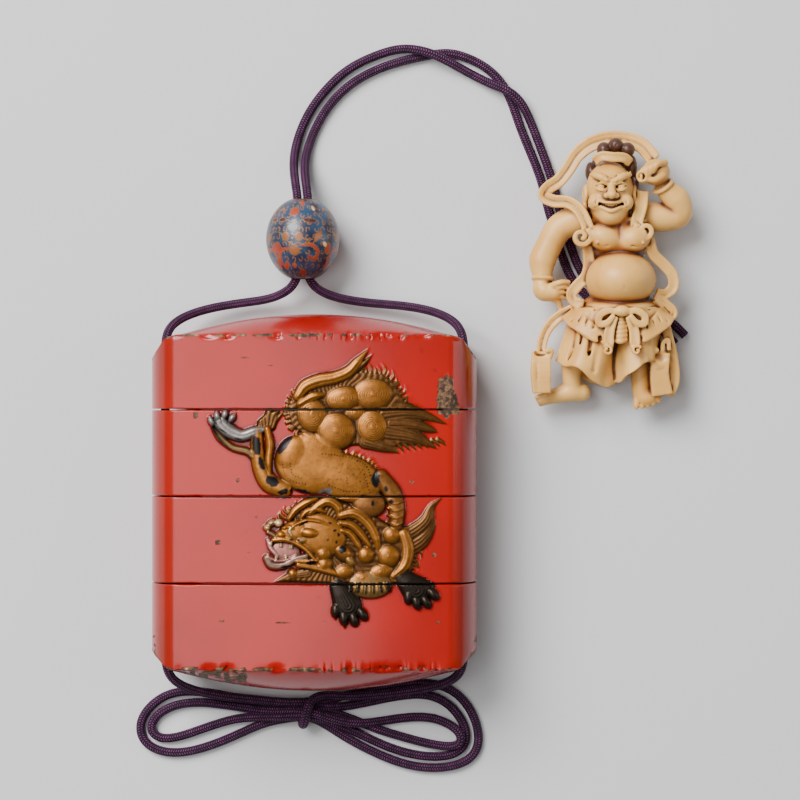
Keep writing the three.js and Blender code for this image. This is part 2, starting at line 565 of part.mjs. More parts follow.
// The bow: on each side the line of its outermost loop and the opening inside its loops.
const KNOT = [-2.2, -44.6, 2.9];
const BOW = {
  left: {
    outer: [
      [-4, -43.6], [-11, -43.4], [-16.5, -42.4], [-22, -41.3], [-27.5, -40.8], [-31.6, -41.4], [-34.8, -43.4],
      [-37.1, -46], [-37.9, -48.7], [-37.2, -51.3], [-34.8, -53.2], [-30.4, -54.1], [-25.2, -53.3],
      [-20, -51.5], [-15.4, -49.5], [-11.6, -47.9], [-4, -46.4],
    ],
    opening: [
      [-15.5, -45.4], [-20, -44.8], [-25, -44.3], [-29.4, -44.6], [-32, -45.7], [-33.9, -47.4],
      [-34.6, -49], [-33.9, -49.9], [-32, -50.3], [-28.8, -49.6], [-25, -48.3], [-21, -46.9],
    ],
  },
  right: {
    outer: [
      [0, -43], [4.2, -42.2], [10, -41], [18, -39.6], [24.6, -39.1], [29.4, -40.7], [32.6, -43.9],
      [34.5, -48], [35, -52], [33.7, -54.9], [30.6, -56.6], [26, -57.3], [20.4, -56.8], [15.2, -55.1],
      [10, -52.7], [6, -50.5], [2.8, -48.3], [0, -46.6],
    ],
    opening: [
      [13, -48.3], [17.6, -47.7], [22.2, -47.3], [26, -47.8], [29, -49.2], [30.6, -50.6], [30.2, -51.5],
      [28.2, -52], [23.8, -51.1], [18.4, -49.7],
    ],
  },
};

// A closed outline moved outwards by a distance, and turned to run anticlockwise.
function moved(points, distance) {
  const curve = new THREE.CatmullRomCurve3(points.map(([x, y]) => new THREE.Vector3(x, y, 0)), true, "centripetal");
  const steps = 30;
  const turnSign = Math.sign(THREE.ShapeUtils.area(points.map(([x, y]) => new THREE.Vector2(x, y))));
  const line = Array.from({ length: steps }, (_, k) => {
    const at = curve.getPointAt(k / steps);
    const tangent = curve.getTangentAt(k / steps);
    return new THREE.Vector2(at.x + tangent.y * distance * turnSign, at.y - tangent.x * distance * turnSign);
  });
  return turnSign > 0 ? line : line.reverse();
}

function bowSide({ outer, opening }) {
  const shape = new THREE.Shape(moved(outer, CORD_RADIUS));
  shape.holes.push(new THREE.Path(opening.map(([x, y]) => new THREE.Vector2(x, y))));
  const options = { depth: 2 * CORD_RADIUS, bevelEnabled: false };
  return solid(new THREE.ExtrudeGeometry(shape, options).translate(0, 0, LYING - CORD_RADIUS));
}

const bow = joined([
  bowSide(BOW.left),
  bowSide(BOW.right),
  ellipsoid(KNOT, [2.6, 3.6, 2.8], 0, 10, 6),
  limb([-7.5, -42.9, 3.4], KNOT, CORD_RADIUS),
  limb([4.9, -41.7, 4], KNOT, CORD_RADIUS),
]);

// ---- The set
const pieces = [
  ...Object.entries(caseParts).map(([name, part]) => meshOf(name, part, RED)),
  meshOf("ojime", beadSolid(), ENAMEL),
  meshOf("netsuke", toggle, IVORY),
  meshOf("cord_left", cordTube(LEFT_STRAND), SILK),
  meshOf("cord_right", cordTube(RIGHT_STRAND), SILK),
  meshOf("cord_wrap_left", cordTube(LEFT_WRAP), SILK),
  meshOf("cord_wrap_right", cordTube(RIGHT_WRAP), SILK),
  meshOf("cord_bow", bow, SILK),
];
const inro = new THREE.Group();
inro.add(...pieces);

export default inro;
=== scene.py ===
import math

import bmesh
import bpy
import numpy as np
import openvdb
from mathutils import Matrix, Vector


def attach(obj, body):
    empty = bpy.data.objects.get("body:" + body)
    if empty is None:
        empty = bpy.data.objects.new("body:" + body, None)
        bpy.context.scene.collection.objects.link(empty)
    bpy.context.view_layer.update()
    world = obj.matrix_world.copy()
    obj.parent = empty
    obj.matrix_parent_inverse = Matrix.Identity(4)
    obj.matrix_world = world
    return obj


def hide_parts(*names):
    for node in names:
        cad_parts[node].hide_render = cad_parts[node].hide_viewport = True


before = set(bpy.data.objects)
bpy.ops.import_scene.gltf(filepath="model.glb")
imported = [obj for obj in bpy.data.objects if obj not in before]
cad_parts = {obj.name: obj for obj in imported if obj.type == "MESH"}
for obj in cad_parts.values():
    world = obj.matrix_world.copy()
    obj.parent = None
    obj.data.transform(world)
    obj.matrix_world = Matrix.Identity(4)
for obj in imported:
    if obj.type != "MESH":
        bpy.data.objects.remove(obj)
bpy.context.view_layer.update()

# Shapes are worked out in millimetres, in the frame's axes: X across the case, Y from its foot to its
# lid, Z up from the surface that everything lies on. Meshes are written in metres.
MM = 0.001
TAU = 2 * math.pi

# ---- The case's own sizes
MID = 12.25
JOIN_GAP = 0.3
RISER_HEIGHT = 8.0
FLOOR_THICK = 1.8
SEAM_LID, SEAM_UPPER, SEAM_MIDDLE = 19.6, 1.55, -16.6
TOP = dict(crest=39.7, fall=0.0054, ridge=35.2, shoulder=30.9, shoulder_y=34.6, slope=1.33)
FOOT = dict(crest=39.7, fall=0.0049, ridge=34.5, shoulder=30.3, shoulder_y=34.5, slope=0.9)
CEILING = 32.8
LOWEST_FLOOR = -33.2
CHANNEL_X, CHANNEL_RADIUS = 31.5, 1.45
OUTER = dict(width=34.25, face=12.4, crown=1.5, end=6.3)
SKIRT = dict(width=27.75, face=10.15, crown=1.1, end=5.0)
RISER_OUT = dict(width=27.4, face=9.8, crown=1.1, end=5.0)
RISER_IN = dict(width=26.2, face=8.6, crown=1.1, end=4.5)

# ---- Cord, bead and toggle
CORD_RADIUS = 0.95
BEAD = dict(centre=(-2.6, 55.8, 7.75), radius=7.8, length=17.8, bore=2.45)
TOGGLE = np.array([62.4, 48.6, 0.0])


# ======================================================================= shader and mesh helpers
class Value:
    """A node's output that can be used in a Python expression. Every operator adds a Math node."""

    def __init__(self, paint, socket):
        self.paint = paint
        self.socket = socket

    def math(self, operation, *others, clamp=False):
        settings = {"operation": operation, "use_clamp": clamp}
        inputs = dict(enumerate([self, *others]))
        return self.paint.node("ShaderNodeMath", settings, inputs)

    def __add__(self, other):
        return self.math("ADD", other)

    __radd__ = __add__

    def __sub__(self, other):
        return self.math("SUBTRACT", other)

    def __rsub__(self, other):
        return (self * -1) + other

    def __mul__(self, other):
        return self.math("MULTIPLY", other)

    __rmul__ = __mul__

    def __truediv__(self, other):
        return self.math("DIVIDE", other)

    def __pow__(self, other):
        return self.math("POWER", other)

    def __abs__(self):
        return self.math("ABSOLUTE")

    def low(self, other):
        return self.math("MINIMUM", other)

    def high(self, other):
        return self.math("MAXIMUM", other)

    def sine(self):
        return self.math("SINE")

    def step(self, start, end):
        """0 below start and 1 above end, with a smooth change between them."""
        settings = {"interpolation_type": "SMOOTHSTEP"}
        inputs = {"Value": self, "From Min": start, "From Max": end}
        return self.paint.node("ShaderNodeMapRange", settings, inputs)


class Paint:
    """A material under construction, with a Principled shader at its end."""

    def __init__(self, name, **constants):
        self.material = bpy.data.materials.new(name)
        self.material.use_nodes = True
        self.tree = self.material.node_tree
        self.shader = self.tree.nodes["Principled BSDF"]
        for socket, value in constants.items():
            self.shader.inputs[socket.replace("_", " ")].default_value = value

    def put(self, socket, value):
        if isinstance(value, Value):
            self.tree.links.new(value.socket, socket)
        elif isinstance(value, (tuple, list)) and len(socket.default_value) == 4 and len(value) == 3:
            socket.default_value = (*value, 1.0)
        else:
            socket.default_value = value

    def node(self, kind, settings=None, inputs=None, out=0):
        made = self.tree.nodes.new(kind)
        for key, value in (settings or {}).items():
            if key == "stops":
                ramp = made.color_ramp
                while len(ramp.elements) < len(value):
                    ramp.elements.new(1.0)
                for element, (position, colour) in zip(ramp.elements, value):
                    element.position = position
                    element.color = (*colour, 1.0)
            else:
                setattr(made, key, value)
        for key, value in (inputs or {}).items():
            self.put(made.inputs[key], value)
        return Value(self, made.outputs[out])

    def surface(self, **inputs):
        for socket, value in inputs.items():
            self.put(self.shader.inputs[socket.replace("_", " ")], value)
        return self.material

    def place(self):
        return self.node("ShaderNodeTexCoord", out="Object")

    def axes(self):
        split = self.node("ShaderNodeSeparateXYZ", {}, {0: self.place()})
        outputs = split.socket.node.outputs
        return [Value(self, outputs[axis]) for axis in "XYZ"]

    def noise(self, scale, detail=3.0, roughness=0.55, vector=None, distortion=0.0):
        inputs = {"Scale": scale, "Detail": detail, "Roughness": roughness, "Distortion": distortion}
        inputs["Vector"] = vector or self.place()
        return self.node("ShaderNodeTexNoise", {}, inputs)

    def stretched(self, scale, turn=0.0):
        inputs = {"Vector": self.place(), "Scale": scale, "Rotation": (0, 0, turn)}
        return self.node("ShaderNodeMapping", {}, inputs)

    def mix(self, factor, first, second, kind="MIX"):
        settings = {"data_type": "RGBA", "blend_type": kind, "clamp_factor": True}
        return self.node("ShaderNodeMix", settings, {0: factor, 6: first, 7: second}, out=2)

    def attribute(self, name, out="Fac"):
        return self.node("ShaderNodeAttribute", {"attribute_name": name}, out=out)

    def bump(self, height, distance, strength=1.0, normal=None):
        inputs = {"Height": height, "Distance": distance, "Strength": strength}
        if normal:
            inputs["Normal"] = normal
        return self.node("ShaderNodeBump", {}, inputs)


def linear(red, green, blue):
    """A colour given in display values, 0 to 255, as the renderer's own values."""
    channels = []
    for value in (red, green, blue):
        share = value / 255
        channels.append(share / 12.92 if share <= 0.04045 else ((share + 0.055) / 1.055) ** 2.4)
    return tuple(channels)


def mesh_object(name, points_mm, faces, smooth=True):
    mesh = bpy.data.meshes.new(name)
    mesh.from_pydata((np.asarray(points_mm, dtype=float) * MM).tolist(), [], faces)
    mesh.validate()
    mesh.update()
    if smooth:
        mesh.polygons.foreach_set("use_smooth", [True] * len(mesh.polygons))
    made = bpy.data.objects.new(name, mesh)
    bpy.context.scene.collection.objects.link(made)
    return made


def vertex_array(target):
    flat = np.empty(len(target.data.vertices) * 3)
    target.data.vertices.foreach_get("co", flat)
    return flat.reshape(-1, 3) / MM


def set_attribute(target, name, values):
    layer = target.data.attributes.new(name, "FLOAT", "POINT")
    layer.data.foreach_set("value", np.ascontiguousarray(values, dtype=np.float32))


def set_colour(target, name, colours):
    layer = target.data.attributes.new(name, "FLOAT_COLOR", "POINT")
    full = np.ones((len(colours), 4), dtype=np.float32)
    full[:, :3] = colours
    layer.data.foreach_set("color", full.ravel())


def smoothstep(values, start, end):
    share = np.clip((values - start) / (end - start), 0, 1)
    return share * share * (3 - 2 * share)


def spline(points, samples, closed=False):
    """Points on a centripetal Catmull-Rom curve through the given ones, in even parameter steps."""
    points = np.asarray(points, dtype=float)
    count = len(points)
    if closed:
        around = np.vstack([points[-1], points, points[:2]])
        spans = count
    else:
        around = np.vstack([2 * points[0] - points[1], points, 2 * points[-1] - points[-2]])
        spans = count - 1
    result = []
    for value in np.linspace(0, spans, samples, endpoint=not closed):
        k = min(int(value), spans - 1)
        p0, p1, p2, p3 = around[k : k + 4]
        knots = [0.0]
        for a, b in ((p0, p1), (p1, p2), (p2, p3)):
            knots.append(knots[-1] + max(np.linalg.norm(b - a), 1e-6) ** 0.5)
        t = knots[1] + (value - k) * (knots[2] - knots[1])
        a1 = ((knots[1] - t) * p0 + (t - knots[0]) * p1) / (knots[1] - knots[0])
        a2 = ((knots[2] - t) * p1 + (t - knots[1]) * p2) / (knots[2] - knots[1])
        a3 = ((knots[3] - t) * p2 + (t - knots[2]) * p3) / (knots[3] - knots[2])
        b1 = ((knots[2] - t) * a1 + (t - knots[0]) * a2) / (knots[2] - knots[0])
        b2 = ((knots[3] - t) * a2 + (t - knots[1]) * a3) / (knots[3] - knots[1])
        result.append(((knots[2] - t) * b1 + (t - knots[1]) * b2) / (knots[2] - knots[1]))
    return np.array(result)


def evenly(points, spacing):
    """The same line with its points a constant distance apart."""
    lengths = np.linalg.norm(np.diff(points, axis=0), axis=1)
    along = np.concatenate([[0], np.cumsum(lengths)])
    count = max(2, int(round(along[-1] / spacing)) + 1)
    places = np.linspace(0, along[-1], count)
    return np.stack([np.interp(places, along, points[:, axis]) for axis in range(3)], axis=1)


# ======================================================================= camera
VIEW_X, VIEW_Y = 18.04, 21.6
VIEW_HEIGHT = 712.5
LENS = 149.3


def add_camera():
    camera = bpy.data.cameras.new("camera")
    camera.lens = LENS
    camera.sensor_width = 36.0
    camera.clip_start = 0.01
    made = bpy.data.objects.new("camera", camera)
    made.location = (VIEW_X * MM, VIEW_Y * MM, VIEW_HEIGHT * MM)
    bpy.context.scene.collection.objects.link(made)
    bpy.context.scene.camera = made


add_camera()

# ======================================================================= the cord
LYING = 1.0  # height of the cord's middle where it lies on the surface

# Both strands start at the cut ends beside the toggle and run to the shoulders of the lid.
LEFT_STRAND = [
    (79.2, 35.4), (75.4, 39), (69, 41.2), (62.6, 43.6), (57.6, 47.8), (55, 53.4), (53.6, 58),
    (52, 63.2), (51, 67.6), (49.4, 72.4), (47.6, 77.2), (45.9, 81.6), (44.2, 85, 2.6),
    (41.6, 87.6, 3.3), (37.6, 89.2, 2.2), (33, 91.6, 1.4), (28.8, 93.8, 2.6), (24.6, 95.8, 3.3),
    (18.4, 96.9, 1.8), (12.2, 95.2), (6.6, 92.3), (2, 88), (-1.5, 83.2), (-3.7, 78.2), (-4.7, 73.6, 2),
    (-4.4, 68.6, 5.6), (-3.7, 64.4, 7.6), (-3.7, 55.8, 7.75), (-3.8, 47.2, 7.6), (-5.8, 44.9, 6),
    (-9.8, 43.2, 4), (-15.4, 42.4, 3.2), (-21.4, 41.4, 4), (-26.2, 40, 6), (-29.6, 38.1, 9.2),
    (-31.2, 36, 11.6), (-31.5, 34, 12.25), (-31.5, 31.6, 12.25),
]
RIGHT_STRAND = [
    (77, 33.6), (74.2, 36.8), (68.2, 39), (61.4, 41.6), (55.6, 46.4), (52.7, 52.6), (51.2, 58),
    (49.7, 62.8), (48.7, 67.4), (47.2, 71.8), (45.2, 76.6), (43.4, 81.2), (42, 85.4), (40.3, 89),
    (37.2, 92.4), (33, 94.8), (28.4, 96.1), (23.6, 95.4), (18.2, 94.2), (12.9, 92.4), (8.1, 89.8),
    (4, 86.2), (0.9, 81.8), (-1.2, 77.2), (-2.3, 72.8, 2), (-2.1, 68.4, 5.6), (-1.5, 64.4, 7.6),
    (-1.5, 55.8, 7.75), (-1.4, 47.2, 7.6), (0.8, 44.9, 6), (4.8, 43.4, 4.2), (11, 42.4, 3.2),
    (18, 41.8, 3.6), (23.8, 40.8, 5.4), (28.4, 39, 8.4), (30.9, 36.6, 11.2), (31.5, 34, 12.25),
    (31.5, 31.6, 12.25),
]
LEFT_WRAP = [
    (-31.5, -31, 12.25), (-31.5, -33.6, 12.25), (-30.7, -36.8, 10.8), (-27.6, -39.4, 7.6),
    (-22, -41.2, 4.8), (-15, -42.2, 3.5), (-9, -42.8, 3.4),
]
RIGHT_WRAP = [
    (31.5, -31, 12.25), (31.5, -33.6, 12.25), (30.7, -36.4, 10.8), (27.4, -38.6, 8.2),
    (20.6, -40.3, 5.4), (13, -41.3, 4), (6.4, -41.7, 4),
]
# The bow, from the left wrap through the knot: three loops to the right, two to the left, and a last
# turn that binds the knot before the right wrap.
BOW = [
    (-5, -43, 4.1), (-2.2, -42.9, 3.8), (0.8, -42.7, 3.0), (4.2, -42.2, 1.3), (10, -41.0), (18, -39.6),
    (24.6, -39.1), (29.4, -40.7), (32.6, -43.9), (34.5, -48), (35, -52), (33.7, -54.9), (30.6, -56.6),
    (26, -57.3), (20.4, -56.8), (15.2, -55.1), (10, -52.7), (6, -50.5), (2.8, -48.4), (0.2, -46.8, 1.7),
    (-2.2, -46, 2.1), (-5.2, -46.5, 1.4), (-8.5, -47), (-11.8, -47.9), (-15.4, -49.5), (-20, -51.5),
    (-25.2, -53.3), (-30.4, -54.1), (-34.8, -53.2), (-37.2, -51.3), (-37.9, -48.7), (-37.1, -46),
    (-34.8, -43.4), (-31.6, -41.4), (-27.5, -40.8), (-22, -41.3), (-16.5, -42.4), (-11, -43.4),
    (-6.4, -43.8, 1.5), (-2.2, -43.6, 2.1), (1.2, -44.1, 1.9), (5, -44.2, 1.2), (9.6, -43.5),
    (16.9, -42), (23.4, -41.5), (27.5, -42.9), (30.4, -45.7), (32.2, -49), (32.3, -51.9), (30.6, -54),
    (26.6, -54.9), (20.4, -54.3), (15, -52.6), (10, -50.3), (6, -48.4, 1.2), (3, -47.1, 2.3),
    (0.4, -46.3, 3.4), (-2.2, -45.9, 3.8), (-5.2, -46, 3.4), (-9, -46.2, 3.0), (-13, -46.3, 1.9),
    (-17.6, -46.8), (-21.4, -47.9), (-25.2, -49.2), (-29, -50.5), (-32.2, -51.1), (-34.8, -50.6),
    (-35.8, -48.9), (-34.9, -46.7), (-32.6, -44.8), (-29.4, -43.6), (-25, -43.2), (-20, -43.7),
    (-15.2, -44.4, 1.2), (-11, -44.9, 2.1), (-7, -44.9, 3.0), (-2.2, -44.7, 4.2), (1.8, -45.9, 4.2),
    (6.3, -47.3, 3.2), (9.5, -47.6, 2.9), (13.5, -47.3, 1.4), (17.6, -46.7), (22.2, -46.3),
    (26.2, -46.8, 1.2), (29.6, -48.4, 2.3), (31.7, -50.5, 3), (31.1, -52.3, 2.7), (28.4, -52.7, 1.5),
    (23.8, -52.0), (18.2, -50.5), (12.9, -48.9), (8, -46.9), (4, -45.5, 1.4), (0.4, -44.9, 2.5),
    (-1.6, -44.9, 2.7), (-3.1, -46.2, 2.2), (-3.2, -47.9, 2.4), (-2.6, -48.4, 3.9), (-2.2, -47, 5.6),
    (-1.8, -44.6, 6.1), (-1.2, -42.3, 5.4), (0.6, -41.4, 4.3),
]


def lifted(points):
    return [(*point, LYING)[:3] for point in points]


def cord_route():
    parts = [LEFT_STRAND, LEFT_WRAP, BOW, RIGHT_WRAP[::-1], RIGHT_STRAND[::-1]]
    points = [point for part in parts for point in lifted(part)]
    route = evenly(spline(points, len(points) * 14), 0.5)
    # The braid is too stiff for a sharp turn
    for _ in range(3):
        ends = route[:1], route[-1:]
        padded = np.vstack([np.repeat(ends[0], 3, 0), route, np.repeat(ends[1], 3, 0)])
        route = sum(padded[k:k + len(route)] for k in range(7)) / 7
        route[0], route[-1] = ends[0][0], ends[1][0]
    return evenly(route, 0.5)


def swept(path):
    """Two directions across a path, carried along it without twist."""
    tangents = np.gradient(path, axis=0)
    tangents /= np.linalg.norm(tangents, axis=1, keepdims=True)
    across = np.empty_like(path)
    first = np.cross(tangents[0], (0, 0, 1.0))
    across[0] = first / np.linalg.norm(first)
    for k in range(1, len(path)):
        side = across[k - 1] - tangents[k] * np.dot(across[k - 1], tangents[k])
        across[k] = side / np.linalg.norm(side)
    up = np.cross(tangents, across)
    return across, up


def make_cord():
    sides = 16
    path = cord_route()
    across, up = swept(path)
    angles = np.arange(sides) / sides * TAU
    ring = np.cos(angles)[None, :, None] * across[:, None, :] + np.sin(angles)[None, :, None] * up[:, None, :]
    points = path[:, None, :] + ring * CORD_RADIUS
    points[:, :, 2] = np.maximum(points[:, :, 2], 0.05)
    rings = len(path)
    vertices = np.vstack([points.reshape(-1, 3), path[0], path[-1]])
    faces = []
    for r in range(rings - 1):
        for s in range(sides):
            t = (s + 1) % sides
            faces.append((r * sides + s, r * sides + t, (r + 1) * sides + t, (r + 1) * sides + s))
    first, last = rings * sides, rings * sides + 1
    for s in range(sides):
        t = (s + 1) % sides
        faces.append((first, t, s))
        faces.append((last, (rings - 1) * sides + s, (rings - 1) * sides + t))
    cord = mesh_object("silk_cord", vertices, faces)
    layer = cord.data.uv_layers.new(name="braid")
    ring_of = np.append(np.repeat(np.arange(rings), sides), [0, rings - 1])
    step = 0.5 / (2 * CORD_RADIUS)  # along the cord, one unit is one diameter
    uvs = np.zeros((len(cord.data.loops), 2))
    for polygon in cord.data.polygons:
        corners = [cord.data.loops[k].vertex_index for k in polygon.loop_indices]
        sector = [min(c, first - 1) % sides for c in corners]
        wraps = max(sector) - min(sector) > sides / 2
        for k, corner, s in zip(polygon.loop_indices, corners, sector):
            uvs[k] = (ring_of[corner] * step, (s + sides * (wraps and s == 0)) / sides)
    layer.data.foreach_set("uv", uvs.ravel())
    return cord, path


def silk_paint():
    paint = Paint("plum silk", Roughness=0.7, Sheen_Weight=0.06, Sheen_Roughness=0.4, Specular_IOR_Level=0.25)
    paint.shader.inputs["Sheen Tint"].default_value = (*linear(190, 120, 190), 1)
    uv = paint.node("ShaderNodeUVMap", {"uv_map": "braid"})
    split = paint.node("ShaderNodeSeparateXYZ", {}, {0: uv})
    along = split
    around = Value(paint, split.socket.node.outputs["Y"])
    # A herringbone: rows of short stitches that lean one way and the other in turn
    rows, pitch = 8, 3.6
    row = around * rows
    share = row.math("FRACT")
    lean = (row.math("FLOOR").math("MODULO", 2)) * 2 - 1
    stitch = ((along * pitch + lean * share * 0.55) * TAU).sine() * 0.5 + 0.5
    bulge = (share * math.pi).sine()
    height = stitch.step(0.15, 0.85) * bulge.step(0.05, 0.7)
    thread = paint.noise(5200, 1, 0.5)
    fleck = paint.noise(700, 2, 0.6).step(0.3, 0.7)
    # Painted shade between the stitches, and on their tops a painted highlight mixed with pink flecks
    colour = paint.mix(height, linear(7, 2, 8), linear(34, 9, 34))
    colour = paint.mix(height.step(0.62, 0.95) * (0.35 + fleck * 0.55), colour, linear(128, 60, 118))
    height = height + thread * 0.12
    return paint.surface(Base_Color=colour, Normal=paint.bump(height, 0.00035, 0.9))


# ======================================================================= the lion in relief
GOLD = linear(152, 94, 34)
OLD_GOLD = linear(100, 62, 24)
IRON = linear(38, 30, 23)
SILVER = linear(126, 119, 114)
BLACK = linear(22, 21, 24)
ROSE = linear(196, 140, 136)
CREAM = linear(214, 190, 140)


def lumps(x, y, size, seed):
    """Smooth noise from 0 to 1 whose lumps are about size across."""
    table = np.random.default_rng(seed).random((64, 64))
    u, v = np.asarray(x) / size + 200, np.asarray(y) / size + 200
    i, j = np.floor(u).astype(int), np.floor(v).astype(int)
    a, b = smoothstep(u - i, 0, 1), smoothstep(v - j, 0, 1)
    near = table[i % 64, j % 64] * (1 - a) + table[(i + 1) % 64, j % 64] * a
    far = table[i % 64, (j + 1) % 64] * (1 - a) + table[(i + 1) % 64, (j + 1) % 64] * a
    return near * (1 - b) + far * b


class Relief:
    """Heights and colours over a grid of the case's front."""

    PITCH = 0.1

    def __init__(self, left, right, low, high):
        self.left, self.low = left, low
        self.x = np.arange(left, right, self.PITCH)
        self.y = np.arange(low, high, self.PITCH)
        self.high = np.zeros((len(self.y), len(self.x)))
        self.tint = np.zeros((*self.high.shape, 3))

    def window(self, points, margin):
        points = np.atleast_2d(points)
        x0, y0 = points[:, 0].min() - margin, points[:, 1].min() - margin
        x1, y1 = points[:, 0].max() + margin, points[:, 1].max() + margin
        columns = slice(*np.searchsorted(self.x, (x0, x1)))
        rows = slice(*np.searchsorted(self.y, (y0, y1)))
        return (rows, columns), *np.meshgrid(self.x[columns], self.y[rows])

    def lay(self, window, height, tint, painted_shade, soft=0.0):
        old = self.high[window]
        on = (height > old) & (height > 0)
        result = np.where(on, height, old)
        if soft:
            both = (height > 0) & (old > 0)
            result = result + both * np.maximum(soft - np.abs(height - old), 0) ** 2 / (4 * soft)
            # Where two forms blend into each other, their meeting gets little painted shade
            painted_shade = np.where(both, np.maximum(painted_shade, 0.9), painted_shade)
        self.high[window] = result
        # The tint is darkened by the given factor: painted shade in grooves and along the edges of forms
        self.tint[window] = np.where(on[..., None], np.asarray(tint) * painted_shade[..., None], self.tint[window])

    def mound(self, x, y, rx, ry, high, turn=0.0, tint=GOLD, rings=0.0, steep=0.5, soft=0.0):
        window, gx, gy = self.window((x, y), max(rx, ry))
        a = ((gx - x) * math.cos(turn) + (gy - y) * math.sin(turn)) / rx
        b = ((gy - y) * math.cos(turn) - (gx - x) * math.sin(turn)) / ry
        far = np.hypot(a, b)
        height = high * np.clip(1 - far**2, 0, 1) ** steep
        painted_shade = np.ones_like(height)
        # Spiral grooves: cut into the height, and darkened in the tint as painted shade
        if rings:
            wave = 0.5 + 0.5 * np.cos(TAU * (rings * far - np.arctan2(b, a) / TAU))
            wave = wave**2 * smoothstep(far, 0.04, 0.2) * (1 - smoothstep(far, 0.86, 0.97))
            height -= 0.16 * wave * (height > 0)
            painted_shade -= 0.55 * wave
        # Painted shade: darker towards the outline
        painted_shade *= 0.35 + 0.65 * smoothstep(1 - far, 0, 0.12)
        self.lay(window, height, tint, painted_shade, soft)

    def stroke(self, points, widths, high, tint=GOLD, combs=0.0, steep=0.5):
        flat = np.array([(px, py, 0.0) for px, py in points])
        path = spline(flat, 10 * len(flat))[:, :2]
        share = np.linspace(0, 1, len(path))
        half = np.interp(share, np.linspace(0, 1, len(widths)), widths) / 2
        window, gx, gy = self.window(path, max(widths) / 2)
        dx, dy = gx[..., None] - path[:, 0], gy[..., None] - path[:, 1]
        ratio = np.hypot(dx, dy) / np.maximum(half, 0.06)
        nearest = ratio.argmin(axis=-1)
        far = np.take_along_axis(ratio, nearest[..., None], -1)[..., 0]
        tangent = np.gradient(path, axis=0)
        across = dx * -tangent[:, 1] + dy * tangent[:, 0]
        side = np.sign(np.take_along_axis(across, nearest[..., None], -1)[..., 0])
        rise = np.minimum(1, half[nearest] / (max(widths) / 2) + 0.25)
        height = high * rise * np.clip(1 - far**2, 0, 1) ** steep
        painted_shade = np.ones_like(height)
        # Combed grooves along the stroke: cut into the height, and darkened in the tint as painted shade
        if combs:
            wave = (0.5 + 0.5 * np.cos(TAU * combs * (side * far + 1) / 2)) ** 2
            height -= 0.13 * wave * (height > 0)
            painted_shade -= 0.5 * wave
        # Painted shade: darker towards the edges
        painted_shade *= 0.35 + 0.65 * smoothstep(1 - far, 0, 0.2)
        self.lay(window, height, tint, painted_shade)

    def fur(self, outline, high, tint, root, lines):
        outline = np.array(outline, dtype=float)
        window, gx, gy = self.window(outline, 0.2)
        inside = np.zeros(gx.shape, dtype=bool)
        edge = np.full(gx.shape, 9.0)
        for (ax, ay), (bx, by) in zip(outline, np.roll(outline, -1, axis=0)):
            if ay != by:
                crossing = (bx - ax) * (gy - ay) / (by - ay) + ax
                inside ^= ((ay > gy) != (by > gy)) & (gx < crossing)
            t = np.clip(((gx - ax) * (bx - ax) + (gy - ay) * (by - ay)) / ((bx - ax) ** 2 + (by - ay) ** 2),
                        0, 1)
            edge = np.minimum(edge, np.hypot(gx - ax - t * (bx - ax), gy - ay - t * (by - ay)))
        far = np.hypot(gx - root[0], gy - root[1])
        angle = np.arctan2(gy - root[1], gx - root[0])
        wave = 0.5 + 0.5 * np.cos(lines * angle + 3.2 * np.sin(far * 0.9) + 4 * lumps(gx, gy, 2.4, 5))
        height = high * inside * smoothstep(edge, 0, 0.55) * (1 - 0.22 * wave)
        # Painted shade: darker in the hair lines and at the outline
        self.lay(window, height, tint, (1 - 0.45 * wave**2) * (0.5 + 0.5 * smoothstep(edge, 0, 0.5)))

    def wisps(self, points, outward, length, tint=OLD_GOLD, seed=1):
        """Short pointed hairs that stand out along an edge."""
        dice = np.random.default_rng(seed)
        edge = evenly(np.array([(px, py, 0.0) for px, py in points]), 0.9)[:, :2]
        edge += dice.uniform(-0.25, 0.25, edge.shape)
        tangent = np.gradient(edge, axis=0)
        for at, along in zip(edge, tangent):
            normal = np.array([-along[1], along[0]]) * outward
            normal /= max(np.linalg.norm(normal), 1e-6)
            reach = length * dice.uniform(0.35, 1.2)
            bend = dice.uniform(0.2, 1.3)
            tip = at + normal * reach + along / max(np.linalg.norm(along), 1e-6) * bend * reach
            middle = at + normal * reach * 0.45
            self.stroke([at - normal * 0.5, middle, tip], (0.9, 0.5, 0.06), 0.3, tint)

    def mark(self, x, y, rx, ry, turn=0.0, tint=BLACK, ragged=0.35):
        window, gx, gy = self.window((x, y), max(rx, ry) * 1.3)
        a = ((gx - x) * math.cos(turn) + (gy - y) * math.sin(turn)) / rx
        b = ((gy - y) * math.cos(turn) - (gx - x) * math.sin(turn)) / ry
        far = np.hypot(a, b) + ragged * (lumps(gx, gy, 0.5, 8) - 0.5)
        share = (1 - smoothstep(far, 0.85, 1.0)) * (self.high[window] > 0)
        self.tint[window] += (np.asarray(tint) - self.tint[window]) * share[..., None]

    def dots(self, points, spacing, radius=0.16):
        line = evenly(spline([(px, py, 0.0) for px, py in points], 12 * len(points)), spacing)
        for k, at in enumerate(line):
            self.mark(at[0] + 0.06 * math.sin(7.0 * k), at[1], radius, radius, ragged=0.1)

    def blurred(self, grid, reach):
        steps = np.arange(-int(3 * reach / self.PITCH), int(3 * reach / self.PITCH) + 1)
        kernel = np.exp(-0.5 * (steps * self.PITCH / reach) ** 2)
        kernel /= kernel.sum()
        rows = np.apply_along_axis(lambda line: np.convolve(line, kernel, mode="same"), 1, grid)
        return np.apply_along_axis(lambda line: np.convolve(line, kernel, mode="same"), 0, rows)

